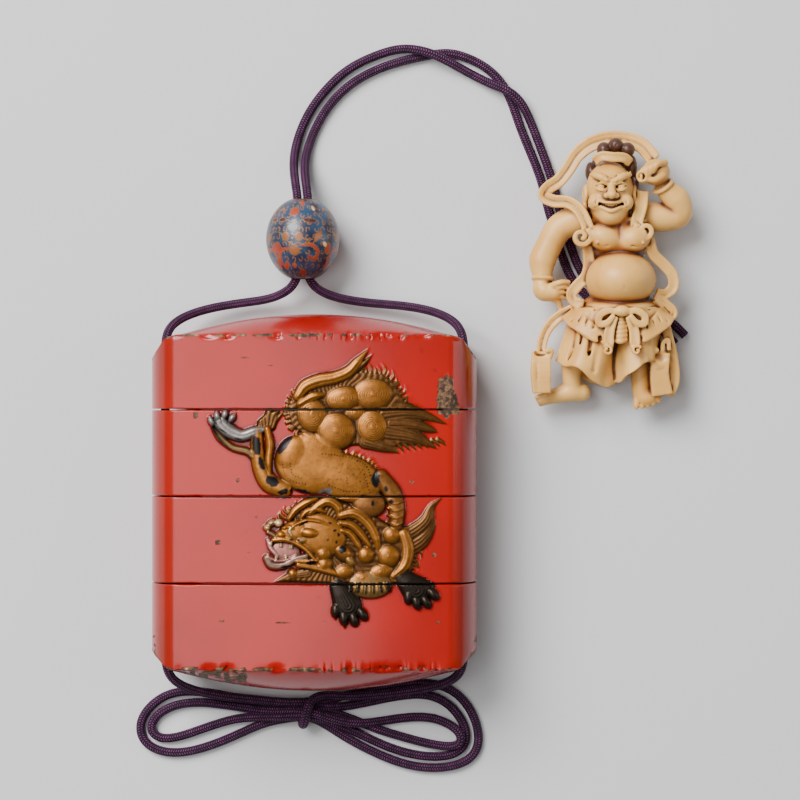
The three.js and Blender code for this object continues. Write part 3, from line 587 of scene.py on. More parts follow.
    def sample(self, grid, x, y):
        u = np.clip((x - self.left) / self.PITCH, 0, len(self.x) - 1.001)
        v = np.clip((y - self.low) / self.PITCH, 0, len(self.y) - 1.001)
        i, j = u.astype(int), v.astype(int)
        a, b = u - i, v - j
        if grid.ndim == 3:
            a, b = a[..., None], b[..., None]
        near = grid[j, i] * (1 - a) + grid[j, i + 1] * a
        far = grid[j + 1, i] * (1 - a) + grid[j + 1, i + 1] * a
        return near * (1 - b) + far * b


def carve_tail(r):
    fringe = [(-3.4, 23.4), (-4.9, 21), (-5.3, 18.7), (-4.6, 16.2), (-2.4, 14.6)]
    r.fur(fringe + [(2, 11.6), (10, 12.2), (17, 11.6), (21, 14), (20.8, 18), (18.4, 22.4), (17.2, 25.1),
                    (14.4, 27.3), (10.4, 27.6), (4, 26.8)], 0.45, OLD_GOLD, (6, 19), 46)
    r.wisps(fringe, 1, 1.3, seed=3)
    r.wisps([(19, 19.4), (18.4, 22.4), (17.2, 25.1), (14.4, 27.2), (10.2, 27.6)], -1, 1.5, seed=4)
    flames = [
        ([(14.6, 18.6), (19.4, 19), (23.6, 18.2), (28.4, 16.3)], (5.2, 4, 2, 0.1)),
        ([(16, 16.8), (20.4, 16.6), (24.6, 15.4), (26, 14.9)], (3.4, 3, 1.4, 0.1)),
        ([(15.6, 15), (20.5, 14.1), (23.3, 12.9), (26, 11.3)], (4.6, 3.6, 1.8, 0.1)),
        ([(11, 13.2), (14.7, 12), (17.9, 10.6)], (3.6, 2.6, 0.2)),
        ([(8.6, 27.6), (10.6, 29.2), (12.4, 31.2)], (1.6, 1.1, 0.1)),
    ]
    for points, widths in flames:
        r.stroke(points, widths, 0.7, OLD_GOLD, combs=6)
    for k in range(9):
        x = 16 + 1.25 * k
        r.stroke([(x, 12.6 + 0.1 * k), (x + 1.2, 11.4 + 0.15 * k), (x + 1.6, 10.4 + 0.2 * k)],
                 (0.9, 0.6, 0.05), 0.3,
                 OLD_GOLD)
    roll = [(-3.1, 22.4), (-1.6, 24.4), (1.2, 25.6), (4.4, 26.2), (7.4, 27.5), (9.2, 29.5), (11.6, 32.3)]
    r.stroke(roll, (2.2, 2.9, 3, 2.8, 2.6, 2, 0.1), 1.15, combs=3)
    curls = [
        (12.4, 22.8, 4.3, 3.3, 1.25, 0.1, 9), (8.9, 19, 2.4, 1.6, 0.9, 0, 5),
        (6.4, 21.9, 3.9, 2.6, 1.4, 0.15, 8),
        (-0.2, 18.6, 3.2, 3.8, 1.3, 0.35, 8), (12.3, 16.1, 3.3, 3.6, 1.3, 0.1, 8),
        (4.8, 15.2, 4.1, 3.9, 1.6, 0, 10),
    ]
    for x, y, rx, ry, high, turn, rings in curls:
        r.mound(x, y, rx + 0.22, ry + 0.22, high * 0.72, turn, OLD_GOLD, steep=0.35)
        r.mound(x, y, rx, ry, high, turn, rings=rings, steep=0.42)
    r.stroke([(-2.8, 20.8), (0, 22.3), (2.8, 22.8)], (1.6, 2.2, 0.6), 1.3, combs=3)


def carve_hind_legs(r):
    # The far foot, dark below the near one
    r.stroke([(-20.6, 15.4), (-19.2, 13.7), (-16.6, 11.7), (-13.4, 10.8), (-11.6, 9.2)],
             (0.9, 1.7, 1.5, 1.7, 2), 0.95, linear(110, 82, 48), combs=2)
    r.stroke([(-21, 16), (-19.4, 13.6), (-17, 11.4)], (0.5, 0.7, 0.4), 1.05, BLACK)
    # Shin and strip
    r.stroke([(-11.6, 15), (-11.5, 10.9), (-10.7, 7), (-9, 4.4), (-6, 3)], (2.6, 3, 3.4, 4, 3.4), 1.2)
    r.stroke([(-9.5, 15.6), (-8.9, 12.4), (-9.2, 9), (-8.9, 6)], (1.5, 1.9, 1.6, 0.8), 1.55)
    # Near foot: pads and toes in worn silver
    r.stroke([(-19.2, 16.9), (-17.4, 15.2), (-14.6, 14.2), (-12.2, 15), (-10.6, 15.4)],
             (3.2, 3.3, 2.6, 2.4, 1.6), 1.3, SILVER, combs=2)
    for x, y, turn in [(-21.1, 17.2, 2.0), (-19.9, 18.2, 1.7), (-18.3, 18.6, 1.3), (-16.8, 17.9, 0.9)]:
        r.mound(x, y, 1.15, 0.72, 1.55, turn, SILVER, steep=0.4)
        r.mound(x + 0.75 * math.cos(turn), y + 0.75 * math.sin(turn), 0.5, 0.3, 1.2, turn, ROSE)
    for x, y, turn in [(-20.4, 17.2, 2.2), (-19.1, 17.6, 1.8), (-17.6, 17.5, 1.3), (-18.6, 15.2, -0.5),
                       (-15.4, 13.5, -0.2)]:
        r.mark(x, y, 1.0, 0.17, turn, linear(36, 32, 34), 0.2)
    # Tuft at the heel
    tuft = [(-11.8, 15.6), (-11.6, 17.4), (-10.2, 18.6), (-9.4, 20.8), (-8.4, 19.4), (-6.6, 19.9),
            (-7.2, 17.4),
            (-7.8, 15.4), (-9.6, 14.8)]
    r.fur(tuft, 0.6, OLD_GOLD, (-10.4, 14), 26)
    r.stroke([(-9.8, 17.4), (-9.2, 19.4), (-9.3, 21.2)], (1, 0.7, 0.05), 0.5, OLD_GOLD)
    r.stroke([(-8.4, 16.6), (-6.8, 18.4), (-5.8, 19.8)], (1.1, 0.7, 0.05), 0.5, OLD_GOLD)


def carve_body(r):
    r.stroke([(14, 5.6), (16.6, 2), (17.4, -1.6), (17.3, -4.6)], (3.4, 3.9, 3.5, 2.6), 1.2,
             linear(120, 74, 30))
    for k in range(4):
        y = 0.8 - 1.5 * k
        r.stroke([(15.5, y), (17, y - 0.7), (18.6, y - 0.2)], (0.5, 0.7, 0.4), 1.36, linear(136, 84, 34))
    r.mound(11.6, 0.2, 3.6, 3, 1.15, -0.2, linear(120, 74, 30))
    r.mound(7.2, 5.4, 7.5, 4.9, 1.4, -0.32, steep=0.42)
    r.mound(-0.4, 8.4, 7.6, 6.3, 1.45, -0.2, steep=0.42, soft=0.6)
    r.mound(-4.4, 10.6, 3, 3.8, 1.6, -0.5, steep=0.5, soft=0.5)
    r.mound(5.4, 6.2, 7.4, 4, 1.5, -0.32, steep=0.6, soft=0.6)
    for x, y, rx, ry, turn in [
        (-5.8, 12.6, 2.5, 1.0, 0.95), (-11.6, 12.2, 0.95, 2.3, 0.1), (-10.7, 8.4, 0.6, 1.6, 0.3),
        (-8.4, 4.7, 1.5, 1.1, -0.6), (-2.6, 2.4, 2.6, 0.85, -0.15), (-6.2, 2.6, 1.2, 0.7, 0.3),
        (13.0, 5.2, 0.95, 2.0, -0.1), (16.3, 0.6, 0.5, 0.5, 0), (12.4, 0.2, 0.4, 0.6, 0),
        (10.2, 1.7, 0.4, 0.3, 0),
        (15.2, 3.2, 0.4, 0.7, 0.3),
    ]:
        r.mark(x, y, rx, ry, turn)
    r.mark(2.3, 2.3, 1.9, 0.9, 0.4, linear(120, 118, 116), 0.2)
    for points in (
        [(-6.4, 8.8), (-5.9, 6.4), (-4.2, 4.8), (-1.6, 4.2)], [(-4.7, 8.4), (-4.2, 6.2), (-2.4, 5.4)],
        [(2, 10.4), (4.6, 10.2), (8.4, 9.4), (11.2, 7.8), (12, 5.4)], [(11.4, 8.8), (13, 7), (13.9, 4.6)],
        [(10.7, 6.2), (11.2, 4.2), (11.8, 2.4)], [(3.4, 4), (6.4, 2.8), (9.6, 2.6)],
    ):
        r.dots(points, 0.62)
    dice = np.random.default_rng(21)
    for _ in range(46):
        r.mark(dice.uniform(3, 12.6), dice.uniform(4.4, 9), 0.13, 0.12, ragged=0.1)
    # A fine ridge of hair down the back
    r.wisps([(1.8, 11.3), (6, 10.6), (10.6, 9.4), (13.4, 6.9)], 1, 0.9, GOLD, seed=9)


def carve_mane(r):
    r.fur([(-5.2, -0.4), (-3.2, -0.9), (-1, 1.1), (3.4, 1.5), (9.6, -0.6), (16.4, -4.4), (20.4, -4.4),
           (21.8, -9.4),
           (20.6, -14), (17.6, -16.6), (4, -16.6), (-4.6, -16.2), (-7.6, -16.2), (-2.6, -13.6), (-1.6, -11)],
          0.5, OLD_GOLD, (2, -8), 54)
    r.wisps([(-6.8, -2.9), (-5.2, -1.4), (-3.4, -0.6), (-1, 1.0)], 1, 1.2, seed=11)
    r.wisps([(21.4, -6.6), (21.9, -9.6), (20.6, -13.4)], 1, 1.4, seed=12)
    flames = [
        ([(18.4, -7), (21.2, -5.6), (23.6, -3.4), (24.6, -0.6), (27, 1.5)], (3.6, 3.6, 3, 1.5, 0.1)),
        ([(19.4, -9.4), (22.4, -7.6), (24.6, -5), (25.4, -3.2)], (4, 3.4, 1.6, 0.1)),
        ([(-1, -14.4), (-4.4, -14.9), (-8.4, -16.3)], (2.6, 2, 0.1)),
    ]
    for points, widths in flames:
        r.stroke(points, widths, 0.65, OLD_GOLD, combs=5)
    locks = [
        ([(18.9, -6.2), (19.7, -9.5), (19, -12.7), (16.6, -15)], (2.4, 2.8, 2.6, 1.2)),
        ([(-0.6, -1.8), (1, -0.4), (3.2, 0.6), (5.2, -0.6), (5.4, -2.2)], (1.6, 2, 2.3, 2, 1.2)),
        ([(-5, -3), (-3.6, -1.2), (-1.6, 0.2), (0.8, 1.2)], (1.2, 1.7, 1.7, 0.8)),
        ([(-2.6, -3), (-1.4, -1.6), (0.6, -1), (2.4, -1.6)], (0.9, 1.5, 1.4, 0.8)),
        ([(5.7, -2.3), (8.6, -1.9), (11.4, -3.9), (13, -6.8), (13.6, -9.4)], (1.8, 2.5, 2.4, 2.1, 1)),
        ([(5.8, -3.9), (7.9, -4.3), (10, -6.2), (11.6, -8.6)], (1.4, 1.8, 1.8, 1)),
        ([(5.9, -5.4), (7.6, -6), (9.2, -8), (9.9, -9.6)], (1.2, 1.7, 1.6, 0.9)),
    ]
    for points, widths in locks:
        r.stroke(points, widths, 1.2, combs=3)
    curls = [
        (14.1, -14, 2.6, 1.6, 1.05, 0.3, 5), (10.4, -15.3, 2.1, 1.3, 1.0, -0.1, 4),
        (6.5, -13.9, 2, 1.55, 1.15, 0.2, 5),
        (-4.2, -14.4, 0.95, 0.95, 0.9, 0, 3), (16.4, -6.4, 1.9, 1.8, 1.35, 0, 6),
        (11, -10.5, 1.75, 1.75, 1.35, 0, 6),
        (15.7, -10.7, 2.35, 2.35, 1.4, 0, 7), (2.4, -12.4, 1.65, 1.7, 1.3, 0, 6),
    ]
    for x, y, rx, ry, high, turn, rings in curls:
        r.mound(x, y, rx + 0.2, ry + 0.2, high * 0.7, turn, OLD_GOLD, steep=0.35)
        r.mound(x, y, rx, ry, high, turn, rings=rings, steep=0.42)


def carve_head(r):
    r.mound(1.7, -6.4, 5.4, 4.5, 1.5, -0.35, steep=0.42)
    r.mound(-3.4, -5.8, 3.8, 2.6, 1.4, 0.2, steep=0.45)
    # Mouth
    r.mound(-5.6, -9.9, 3.2, 2.3, 0.7, -0.25, linear(150, 96, 88), steep=0.3)
    r.stroke([(-9.3, -7.4), (-8.8, -9), (-7.4, -10.6)], (0.9, 1, 0.7), 1.0, ROSE)
    r.stroke([(-9.6, -11.2), (-8.6, -12.6), (-5.9, -12.6), (-3.6, -11.4), (-1.4, -10.8)],
             (1.7, 2, 1.7, 1.6, 1.5), 1.25, linear(120, 92, 76), combs=2)
    r.stroke([(-9.2, -10.9), (-7.6, -11.7), (-5.4, -11.5), (-3.4, -10.5)], (0.5, 0.6, 0.5, 0.3), 1.35, ROSE)
    for x, y in [(-9.3, -10.6), (-7.6, -11.1), (-5.6, -11.0), (-8.7, -8.2), (-6.6, -8.5), (-4.4, -8.8)]:
        r.mound(x, y, 0.35, 0.5, 1.35, tint=CREAM)
    r.stroke([(-8.2, -7.4), (-5.7, -7.3), (-3.2, -8.2), (-1.4, -9.4), (0.2, -11.2)],
             (1.3, 1.5, 1.4, 1.4, 1.2), 1.4,
             combs=1)
    r.stroke([(-3, -12.6), (0.6, -13.1), (3.6, -13.9), (6.2, -14.9)], (1.4, 1.7, 1.6, 0.8), 1.1, combs=2)
    r.stroke([(-3.4, -11.8), (-1.2, -11.8), (0.8, -11.6)], (1.1, 1.5, 1.2), 1.25)
    # Nose and cheeks
    r.mound(-8.6, -3.9, 1.2, 0.75, 1.35, 0.5, linear(150, 118, 80))
    r.mound(-7.1, -3.9, 0.95, 0.85, 1.65, 0, CREAM)
    r.mound(-9.5, -4.9, 0.8, 0.75, 1.5, 0, linear(170, 140, 96))
    r.stroke([(-9.3, -5.8), (-8.2, -6.3), (-7.4, -7.2)], (1.0, 1.2, 0.8), 1.2, linear(120, 90, 60))
    r.mound(-6.6, -6.3, 1.15, 1.0, 1.6)
    r.stroke([(-6.2, -4.9), (-4.6, -4.7), (-3.6, -5.4)], (0.7, 0.9, 0.5), 1.6)
    # Eye under a smooth brow
    r.mound(-2.3, -7.4, 1.6, 0.75, 1.55, 0.1, linear(170, 128, 70))
    r.mound(-2.7, -7.35, 0.7, 0.42, 1.75, 0.1, linear(196, 182, 150))
    r.mark(-2.9, -7.35, 0.26, 0.3, ragged=0.05)
    r.stroke([(-4.4, -6.5), (-4.9, -5.4), (-4.2, -4.6)], (0.5, 0.7, 0.4), 1.75, CREAM)
    r.mound(-0.6, -5.9, 2.85, 1.5, 1.7, -0.12, OLD_GOLD, steep=0.4)
    r.mound(-0.6, -5.9, 2.5, 1.2, 2.0, -0.12, steep=0.45)
    r.stroke([(-4, -4.4), (-1.6, -3.4), (1.4, -3.6), (4, -4.8)], (0.7, 1, 1, 0.5), 1.6, combs=2)
    # Ear, and the round cheek curl before it
    r.mound(6.5, -10.2, 2.4, 1.75, 1.25, -0.5, OLD_GOLD, steep=0.4)
    r.mound(6.3, -9.9, 2.1, 1.4, 1.5, -0.5)
    r.mound(7.6, -11.6, 1.6, 0.95, 1.3, -0.9, linear(150, 108, 54))
    r.mound(2.2, -10.2, 2.1, 2.0, 1.1, 0, OLD_GOLD, steep=0.35)
    r.mound(2.2, -10.2, 1.75, 1.75, 1.5, 0, rings=6, steep=0.42)
    for x, y, rx, ry, turn in [
        (6.2, -9.4, 0.95, 0.8, 0.2), (-0.4, -12.1, 1.2, 0.5, 0.2), (-2.2, -9.9, 0.7, 0.45, 0),
        (-0.6, -11.3, 0.5, 0.3, 0),
        (3.6, -3.9, 0.5, 0.26, -0.5), (5.3, -6.3, 0.3, 0.5, 0), (4.6, -5.4, 0.4, 0.25, 0.4),
        (-4.4, -7.3, 0.5, 0.3, 0),
        (-1.6, -13.5, 1.0, 0.28, -0.1), (-5.6, -12.9, 1.2, 0.3, 0.1), (-9.8, -6.6, 0.4, 0.5, 0),
        (4.9, -7.8, 0.25, 0.4, 0),
        (-1.9, -3.9, 1.3, 0.26, 0.5), (3.1, -7.3, 0.24, 0.2, 0),
    ]:
        r.mark(x, y, rx, ry, turn)


def carve_front_legs(r):
    r.mound(11.8, -16.7, 4.7, 2.9, 1.0, 0, linear(120, 88, 46), steep=0.4)
    for k in range(11):
        x = 7.8 + 0.8 * k
        lean = (x - 11.8) * 0.25
        r.stroke([(x - lean * 0.3, -16.4), (x, -17.9), (x + lean * 0.4, -19.1 + 0.09 * (x - 11.8) ** 2)],
                 (0.75, 0.7, 0.15), 1.12, linear(138, 102, 54) if k % 2 else BLACK)
    for wrist, palm, toes, claws in (
        ((5.2, -17), (7.2, -21), [(4.7, -22), (6.4, -23.6), (8.5, -23.9), (10.3, -22.8)],
         [(4.6, -23.9), (6.6, -25.7), (8.9, -25.4), (11, -23.9)]),
        ((18.6, -15.2), (21.4, -17.8), [(19.8, -19.3), (21.5, -20.4), (23.5, -20.3), (25, -18.7)],
         [(19.8, -20.9), (22, -22.2), (24.3, -21.7), (26.1, -19.9)]),
    ):
        r.stroke([wrist, ((wrist[0] + palm[0]) / 2, (wrist[1] + palm[1]) / 2), palm], (3.6, 4.8, 6), 1.15,
                 IRON, combs=9)
        for (x, y), (cx, cy) in zip(toes, claws):
            turn = math.atan2(cy - y, cx - x)
            r.mound(x, y, 1.6, 1.0, 1.2, turn, IRON, steep=0.5)
            r.stroke([(x + 0.5 * (cx - x), y + 0.5 * (cy - y)), (cx, cy)], (0.8, 0.12), 1.0,
                     linear(34, 30, 28))
            r.mark(x + 0.4 * (cx - x), y + 0.4 * (cy - y), 0.34, 0.3)
    r.wisps([(19.8, -14.6), (22.6, -15.8), (25.4, -17)], 1, 0.7, IRON, seed=15)


lion = Relief(-26.0, 31.0, -29.0, 35.0)
for carve in (carve_tail, carve_hind_legs, carve_body, carve_front_legs, carve_mane, carve_head):
    carve(lion)
lion.cover = lion.blurred((lion.high > 0).astype(float), 0.1)
# Painted shade on the red ground round the relief, from its blurred outline; it also stands for a brownish
# worn edge there
lion.halo = lion.blurred((lion.high > 0.3).astype(float), 0.65)
lion.high = lion.blurred(lion.high, 0.07)
# Painted shade where the relief lies below what is round it, and a painted highlight on its heights
hollow = np.clip((lion.blurred(lion.high, 0.5) - lion.high) / 0.3, 0, 1)
raised = np.clip((lion.high - lion.blurred(lion.high, 0.9)) / 0.5, 0, 1)
lion.tint *= ((1 - 0.85 * hollow) * (1 + 0.35 * raised))[..., None]


# ======================================================================= the case
def half_thickness(x, section):
    straight = section["width"] - section["end"]
    past = np.maximum(0, np.abs(x) - straight) / section["end"]
    rise = section["face"] - section["crown"] * np.minimum(1, np.abs(x) / straight) ** 2
    return rise * np.sqrt(np.maximum(0, 1 - past**2))


def dome_level(form):
    def level(x, u):
        past = np.maximum(0, np.abs(x) - form["shoulder"])
        bevel = np.where(past > 0, form["shoulder_y"] - form["slope"] * past, 99)
        high = np.minimum(form["crest"] - form["fall"] * x**2, bevel)
        low = np.minimum(high, form["ridge"])
        return low + (high - low) * (1 - u**2)

    return level


top_level = dome_level(TOP)


def foot_level(x, u):
    return -dome_level(FOOT)(x, u)


def columns(dense_from=None, dense_to=None, fine=0.17, coarse=0.9):
    """Places round half an outline: -2 to -1 and 1 to 2 in the round ends, -1 to 1 across the face."""
    straight = OUTER["width"] - OUTER["end"]
    spans = [(-straight, straight, coarse)]
    if dense_from is not None:
        low, high = max(-straight, dense_from), min(straight, dense_to)
        spans = [(-straight, low, coarse), (low, high, fine), (high, straight, coarse)]
    face = np.concatenate(
        [np.linspace(a, b, max(1, round((b - a) / pitch)), endpoint=False) for a, b, pitch in spans if b > a]
    )
    face = face / straight
    ends = np.linspace(0, 1, 12, endpoint=False)
    return np.concatenate([ends - 2, face, 1 + ends, [2.0]])


def outline_x(places, section, inset=0.0):
    straight, end = section["width"] - section["end"], section["end"] - inset
    past = np.maximum(0, np.abs(places) - 1)
    return np.sign(places) * (np.minimum(1, np.abs(places)) * straight + end * np.sin(past * math.pi / 2))


def shell_ring(front, back, section, level, inset=0.0):
    """The points of one outline, round the front from left to right and back along the back."""
    rings = []
    for places, u in ((front, 1), (back[1:-1][::-1], -1)):
        notch = inset(places * 28) if callable(inset) else inset
        x = outline_x(places, section)
        x = x * (1 - np.where(np.abs(places) > 1, notch, 0) / 34)
        half = np.maximum(half_thickness(x, section) - notch * (np.abs(places) < 1.9), 0)
        y = level(x, u) if callable(level) else np.full_like(x, level)
        rings.append(np.stack([x, y, MID + np.maximum(u * half, -MID)], axis=1))
    return np.vstack(rings)


def rim(seam, inward, seed):
    """Rows next to a seam, over whose last 0.3 mm the wall turns in, with small chips along it."""
    rows = []
    for near in (0.0, 0.05, 0.12, 0.21, 0.32):
        turn = 0.26 - math.sqrt(max(0.0, 0.26**2 - max(0.0, 0.26 - near) ** 2))

        def inset(x, turn=turn, near=near):
            chip = smoothstep(lumps(x, x * 0 + seed, 0.55, seed), 0.68, 0.95)
            return turn + 0.28 * chip * max(0.0, 1 - near / 0.3)

        rows.append((seam + inward * near, inset))
    return rows


def closed_loft(name, rings, caps, count):
    """Joins rings of equal length, and closes each end with a flat face or a grid of points."""
    faces = []
    for r in range(len(rings) - 1):
        a = np.arange(count) + r * count
        b = np.roll(a - r * count, -1) + r * count
        faces.append(np.stack([a, b, b + count, a + count], axis=1))
    faces = np.vstack(faces).tolist()
    vertices = [np.vstack(rings)]
    total = len(rings) * count
    for where, cap in caps:
        base = 0 if where == "first" else (len(rings) - 1) * count
        if cap is None:
            loop = list(range(base, base + count))
            faces.append(loop[::-1] if where == "first" else loop)
            continue
        # cap is a grid: rows from front to back, with its outer rows and ends on the ring itself
        rows, width, inner = cap
        index = np.zeros((rows, width), dtype=int)
        index[0] = base + np.arange(width)
        index[-1] = [base] + [base + count - k for k in range(1, width - 1)] + [base + width - 1]
        index[:, 0] = base
        index[:, -1] = base + width - 1
        index[1:-1, 1:-1] = total + np.arange((rows - 2) * (width - 2)).reshape(rows - 2, width - 2)
        vertices.append(inner.reshape(-1, 3))
        total += (rows - 2) * (width - 2)
        for j in range(rows - 1):
            for i in range(width - 1):
                quad = [index[j, i], index[j, i + 1], index[j + 1, i + 1], index[j + 1, i]]
                quad = [int(v) for k, v in enumerate(quad) if v != quad[k - 1]]
                if len(quad) > 2:
                    faces.append(quad if where == "last" else quad[::-1])
    return mesh_object(name, np.vstack(vertices), faces)


def dome_cap(places, level, rows=34):
    x = outline_x(places, OUTER)
    us = np.cos(np.linspace(0, math.pi, rows))
    inner = []
    for u in us[1:-1]:
        half = half_thickness(x, OUTER)
        inner.append(np.stack([x, level(x, u), MID + np.maximum(u * half, -MID)], axis=1)[1:-1])
    return rows, len(places), np.array(inner)


def ridge_nearness(points):
    """1 on the two ridges where the walls meet the domes, falling to 0 about 1.5 mm away."""
    x, y, z = points.T
    ridge = np.where(y > 0, top_level(x, 1.0), foot_level(x, 1.0))
    gap = np.hypot(y - ridge, half_thickness(x, OUTER) - np.abs(z - MID))
    return np.exp(-((gap / 0.75) ** 2))


def add_front(points):
    """Moves the outside of a case part: the lion stands out of it, and its ridges are chipped."""
    x, y, z = points.T.copy()
    outside = z > MID + half_thickness(x, OUTER) - 0.6
    points[:, 2] += np.where(outside & (z > MID), lion.sample(lion.high, x, y), 0)
    near = ridge_nearness(points)
    large = smoothstep(lumps(x, z * 0.8, 1.5, 31), 0.5, 0.85)
    small = smoothstep(lumps(x, z, 0.5, 32), 0.55, 0.9)
    chip = large * 0.55 + small * 0.3
    points[:, 1] -= np.sign(y) * near * chip
    points[:, 2] -= np.sign(z - MID) * near * chip * 0.8
    points[:, 2] = np.maximum(points[:, 2], 0)
    return points


def finish_case(piece):
    """Cuts the cord channels, then marks the surface: gilding, colours, wear and the inside."""
    cutters = []
    for side in (-1, 1):
        bore = CHANNEL_RADIUS * np.array([(math.cos(a), math.sin(a)) for a in np.arange(28) / 28 * TAU])
        ends = [np.stack([side * CHANNEL_X + bore[:, 0], np.full(28, y), MID - bore[:, 1]], 1) for y in (-60,
                                                                                                         60)]
        cutters.append(closed_loft("channel", ends, [("first", None), ("last", None)], 28))
    for cutter in cutters:
        step = piece.modifiers.new("channel", "BOOLEAN")
        step.operation, step.solver, step.object = "DIFFERENCE", "MANIFOLD", cutter
    graph = bpy.context.evaluated_depsgraph_get()
    carved = bpy.data.meshes.new_from_object(piece.evaluated_get(graph))
    piece.modifiers.clear()
    piece.data = carved
    carved.materials.clear()
    for cutter in cutters:
        bpy.data.objects.remove(cutter)
    carved.polygons.foreach_set("use_smooth", [True] * len(carved.polygons))
    carved.set_sharp_from_angle(angle=math.radians(44))

    points = vertex_array(piece)
    x, y, z = points.T
    depth = half_thickness(x, OUTER) - np.abs(z - MID)
    front = (z > MID) & (depth < 0.7)
    bored = np.hypot(np.abs(x) - CHANNEL_X, z - MID) < CHANNEL_RADIUS + 0.05
    within = ((depth > 0.75) & (np.abs(x) < 32.4) & (y > -33.6) & (y < 33.2)) | bored
    set_attribute(piece, "gilt", np.where(front, lion.sample(lion.cover, x, y), 0))
    set_attribute(piece, "halo", np.where(front, lion.sample(lion.halo, x, y), 0))
    set_attribute(piece, "within", within.astype(float))
    set_colour(piece, "tint", lion.sample(lion.tint, x, y) * front[:, None])
    set_attribute(piece, "worn", wear(points, front))


# Nicks in the lacquer: place and half-size
NICKS = [
    (-15.5, 4.9, 0.45, 0.5), (20.5, 4.6, 0.5, 0.35), (-22.1, -8.7, 0.3, 0.7), (-19.4, -6, 0.25, 0.8),
    (-19.7, -8, 0.3, 0.5), (25.2, -10.5, 0.45, 0.5), (-24.6, 18.5, 0.35, 0.9), (-6.3, -24.6, 1.1, 0.2),
    (-18.9, -24.3, 0.4, 0.2), (-25.7, 22.6, 0.35, 0.25), (27.6, 18.5, 0.7, 0.8), (25.9, -24.6, 0.4, 0.3),
    (-11.7, -2.5, 0.3, 0.4), (-13.6, -10, 0.3, 0.25), (-13.8, 30.4, 0.7, 0.12), (-14.6, 27.4, 0.3, 0.25),
    (2.6, -24.4, 0.3, 0.15), (14.4, -28.2, 0.3, 0.2), (-8.6, 28.8, 0.25, 0.3), (23.6, 25.6, 0.3, 0.3),
]


def wear(points, front):
    x, y, z = points.T
    ragged = lumps(x, y, 0.9, 41) * 0.6 + lumps(x, y, 0.3, 42) * 0.4
    worn = np.zeros(len(points))
    for nx, ny, rx, ry in NICKS:
        far = np.hypot((x - nx) / rx, (y - ny) / ry) + 0.7 * (lumps(x, y, 0.25, 43) - 0.5)
        worn = np.maximum(worn, front * (1 - smoothstep(far, 0.7, 1.1)) * 0.9)
    # Rubbed through beside the lid's seam on the right, and along the foot on the left
    reach = np.clip((29.4 - y) / 9.8, 0, 1)
    aside = np.abs(x - 28.2 + 0.12 * (y - 20))
    streak = (1 - smoothstep(aside, 0.7 + 1.3 * reach, 1.1 + 1.9 * reach)) * (y > 18.6)
    worn = np.maximum(worn, front * streak * smoothstep(reach, 0.02, 0.4) * (0.35 + 0.65 * ragged))
    foot = (y < -32.4) & (z > MID)
    left = (1 - smoothstep(np.abs(x + 20.5), 4.5, 8.5)) * smoothstep(-y, 34.3, 35.2)
    worn = np.maximum(worn, foot * left * smoothstep(ragged, 0.3, 0.5))
    side = smoothstep(np.abs(x), 32.2, 33.6) * smoothstep(-y, 24, 30) * smoothstep(ragged, 0.45, 0.62)
    worn = np.maximum(worn, side * 0.9)
    near = ridge_nearness(points)
    rubbed = smoothstep(near * (0.55 + 0.6 * lumps(x, z, 2.6, 51)), 0.5, 0.72)
    patches = 0.5 * lumps(x, z, 4.5, 52) + 0.5 * lumps(x, z * 0.8, 0.9, 53)
    worn = np.maximum(worn, rubbed * smoothstep(patches, 0.3, 0.46))
    return np.clip(worn, 0, 1)


def wall_rows(start, end, fine_from, fine_to, fine=0.17, coarse=0.8):
    ys = [start]
    step = math.copysign(1, end - start)
    while (end - ys[-1]) * step > 0:
        ys.append(ys[-1] + step * (fine if fine_from <= ys[-1] <= fine_to else coarse))
    return np.array(ys[1:-1])


def riser_rings(front, back, seam, floor):
    half = JOIN_GAP / 2
    return [
        shell_ring(front, back, section, level)
        for section, level in (
            (RISER_OUT, seam - half), (RISER_OUT, seam + RISER_HEIGHT - 0.25),
            (dict(RISER_OUT, face=9.6, width=27.2), seam + RISER_HEIGHT), (RISER_IN, seam + RISER_HEIGHT),
            (RISER_IN, floor + 0.4), (dict(RISER_IN, face=8.3, width=25.9), floor),
        )
    ]


def outer_rows(front, back, low_seam, high_seam):
    """The outside of a tray, from its lower seam to its upper one."""
    half = JOIN_GAP / 2
    low = rim(low_seam + half, 1, int(60 + low_seam))
    high = rim(high_seam - half, -1, int(90 + high_seam))[::-1]
    middle = [(y, 0.0) for y in wall_rows(low[-1][0], high[0][0], -99, 99)]
    return [shell_ring(front, back, OUTER, y, inset) for y, inset in (*low, *middle, *high)]


def make_tray(name, low_seam, high_seam, dense):
    front, back = columns(*dense), columns()
    half = JOIN_GAP / 2
    underside = low_seam + RISER_HEIGHT + JOIN_GAP
    rings = [shell_ring(front, back, SKIRT, underside), shell_ring(front, back, SKIRT, low_seam + half)]
    rings += outer_rows(front, back, low_seam, high_seam)
    rings += riser_rings(front, back, high_seam, underside + FLOOR_THICK)
    rings = [add_front(ring) if 2 <= k < len(rings) - 6 else ring for k, ring in enumerate(rings)]
    tray = closed_loft(name, rings, [("first", None), ("last", None)], len(front) + len(back) - 2)
    finish_case(tray)
    return tray


